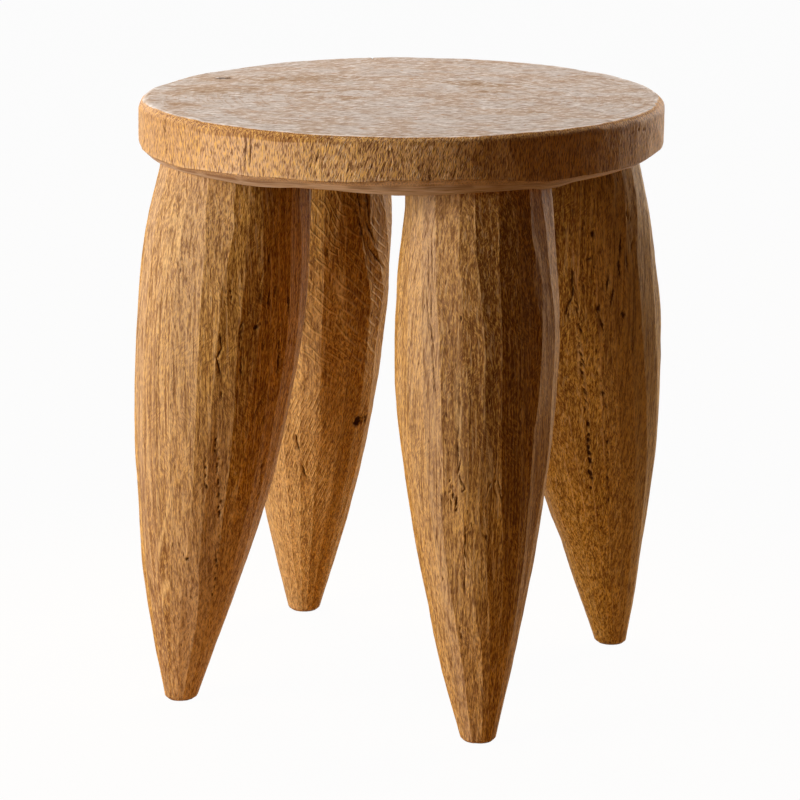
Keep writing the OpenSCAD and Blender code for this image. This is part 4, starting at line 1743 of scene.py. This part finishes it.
def top_tone(net):
    """Bleached end grain: soft arcs round the pith, brown patches, and fine strokes across the view."""
    paint = TOP_PAINT
    place = net.place()
    broad = arcs_in(net, 0.35, 8 * MM, 2.0, 4.0)
    thin = arcs_in(net, 0.25, 2.2 * MM, 1.0, 11.0)
    strokes = weighed(net, (slanted_noise(net, place, 24, 5.5 * MM, 2.2 * MM, 5.0), 0.6),
                      (slanted_noise(net, place, -16, 7 * MM, 2.4 * MM, 7.0), 0.4))
    cloud = net.noise(place, (30 * MM, 22 * MM, 1), shift=3.0)
    spots = net.noise(place, (5 * MM, 5 * MM, 1), detail=1.0, shift=9.0)
    tone = net.mix(net.remap(cloud, 0.38, 0.62), colour(*paint["warm"]), colour(*paint["cool"]))
    tone = net.coat(tone, net.remap(broad, 0.5, 0.66, 0.0, 0.28), paint["broad arc"])
    tone = net.coat(tone, net.remap(thin, 0.54, 0.66, 0.0, 0.45), paint["thin arc"])
    stained_share = net.times(net.mask("stain"), net.remap(strokes, 0.62, 0.38, 0.35, 0.95))
    tone = net.coat(tone, stained_share, paint["stain"])
    tone = net.coat(tone, net.remap(strokes, 0.52, 0.62, 0.0, 0.75), paint["light stroke"])
    tone = net.coat(tone, net.remap(strokes, 0.48, 0.38, 0.0, 0.65), paint["dark stroke"])
    tone = net.coat(tone, net.remap(spots, 0.7, 0.76, 0.0, 0.6), paint["spot"])
    # Pale lip of the top: partly a worn edge, partly a painted highlight.
    return net.coat(tone, net.times(net.mask("worn_lip_and_painted_highlight"), 0.8), paint["worn_lip_and_painted_highlight"]), strokes


def seat_material():
    material, net = new_material("seat_wood")
    grain = grain_in(net, 0.0)
    fibres = net.use(TORN_FIBRES, Unrolled=net.unrolled())
    bleach = net.remap(net.mask("bleach"), 0.4, 0.6)
    torn, chamfer = net.mask("torn"), net.mask("chamfer")
    side = net.mix(chamfer, side_tone(net, grain, fibres, torn), chamfer_tone(net))
    top, strokes = top_tone(net)
    # Painted shade in the seat's pits and cracks.
    tone = net.coat(net.mix(bleach, side, top), net.times(net.mask("painted_pit_shade"), 0.85), SIDE_PAINT["painted_pit_shade"])
    uneven = weighed(net, (grain["Speckle"], 0.25), (grain["Fine"], 0.3),
                     (net.times(fibres["Strokes"], torn), 0.9), (net.times(fibres["Light"], torn), 0.5),
                     (net.times(fibres["Dark"], torn), -0.8))
    calmed = net.times(uneven, net.maths("SUBTRACT", 1.0, net.times(chamfer, 0.85)))
    rough = net.remap(bleach, 0.0, 1.0, 0.56, 0.72)
    surfaced(net, tone, rough, net.between(bleach, calmed, strokes), SEAT_RELIEF)
    return material


pieces["seat"].data.materials.clear()
pieces["seat"].data.materials.append(seat_material())
print("seat has", pieces["seat"].data.materials[0].name)

# %% [markdown]
# ## Floor and light
# The photograph has a pure white ground. Extra light would wash out the wood, so the floor and
# the world are white only in what the camera sees and in reflections, through Light Path. To
# the wood the floor is a warm brown card that gets darker further out, and the world a faint
# warm glow. The floor still takes a little of the stool's shadow. The key lamp is a large soft
# box to the left of the camera, another hangs above and lights the top, a weak warm lamp fills
# the right, and two behind draw the pale edges.

# %% Floor and world
FLOOR_WHITE = 0.97
FLOOR_SIZE = 14
CARD_NEAR = (0.8, 0.5, 0.16, 1)
CARD_FAR = (0.14, 0.08, 0.03, 1)
WORLD_LEVEL = 0.035
WORLD_GLOW = (1.0, 0.4, 0.05, 1)
WHITE = (1, 1, 1, 1)


def seen(net):
    """1 for rays from the camera, and for those that are mirrored or pass through."""
    rays = net.add("LightPath").outputs
    total = net.plus(rays["Is Camera Ray"], rays["Is Glossy Ray"], rays["Is Transmission Ray"])
    return net.maths("MINIMUM", total, 1.0)


def make_floor():
    shell = bmesh.new()
    bmesh.ops.create_grid(shell, x_segments=1, y_segments=1, size=FLOOR_SIZE)
    floor = in_scene("floor", as_mesh(shell, "floor"))
    material, net = new_material("white_floor")
    net.tree.nodes.clear()
    away = net.vector("LENGTH", net.place())
    card = net.mix(net.remap(away, 0.15, 0.6), CARD_NEAR, CARD_FAR)
    plain = net.add("BsdfDiffuse", {"Color": card}).outputs[0]
    white = net.add("Emission", {"Color": WHITE, "Strength": 1.0}).outputs[0]
    mixed = net.add("MixShader", {0: net.times(seen(net), FLOOR_WHITE), 1: plain, 2: white}).outputs[0]
    net.add("OutputMaterial", {"Surface": mixed})
    floor.data.materials.append(material)


def make_world():
    world = bpy.data.worlds.new("studio")
    bpy.context.scene.world = world
    world.use_nodes = True
    net = Net(world.node_tree)
    net.tree.nodes.clear()
    dim = net.add("Background", {"Color": WORLD_GLOW, "Strength": WORLD_LEVEL}).outputs[0]
    white = net.add("Background", {"Color": WHITE, "Strength": 1.0}).outputs[0]
    mixed = net.add("MixShader", {0: seen(net), 1: dim, 2: white}).outputs[0]
    net.add("OutputWorld", {"Surface": mixed})


make_floor()
make_world()
bpy.context.scene.view_settings.view_transform = "Standard"
print("world level for the wood:", WORLD_LEVEL)

# %% Lamps
STOOL_MIDDLE = Vector((0, 0, 0.2))


def lamp(name, left, up, distance, size, watts, tint):
    """A soft box that looks at the stool, left degrees round from the camera and up degrees high."""
    turn = TURN_OF_VIEW - math.radians(left)
    rise = math.radians(up)
    towards = Vector((math.sin(turn) * math.cos(rise), -math.cos(turn) * math.cos(rise), math.sin(rise)))
    data = bpy.data.lights.new(name, "AREA")
    data.shape = "RECTANGLE"
    data.size, data.size_y = size
    data.energy = watts
    data.color = tint
    made = in_scene(name, data)
    made.location = STOOL_MIDDLE + towards * distance
    made.rotation_mode = "QUATERNION"
    made.rotation_quaternion = towards.to_track_quat("Z", "Y")


LAMPS = {
    "key": (67, 17, 1.35, (0.85, 0.7), 19.5, (1.0, 1.0, 0.98)),
    "overhead": (165, 70, 1.8, (0.9, 0.9), 19, (0.97, 0.98, 1.02)),
    "warm_fill": (-22, 8, 2.2, (1.2, 1.2), 1.7, (1.0, 0.37, 0.03)),
    "edge_right": (-136, 16, 2.0, (0.8, 1.2), 26, (1.0, 0.98, 0.96)),
    "edge_left": (142, 22, 2.0, (1.0, 1.0), 11, (1.0, 0.98, 0.96)),
}
for name, settings in LAMPS.items():
    lamp(name, *settings)
print("lamps:", list(LAMPS))
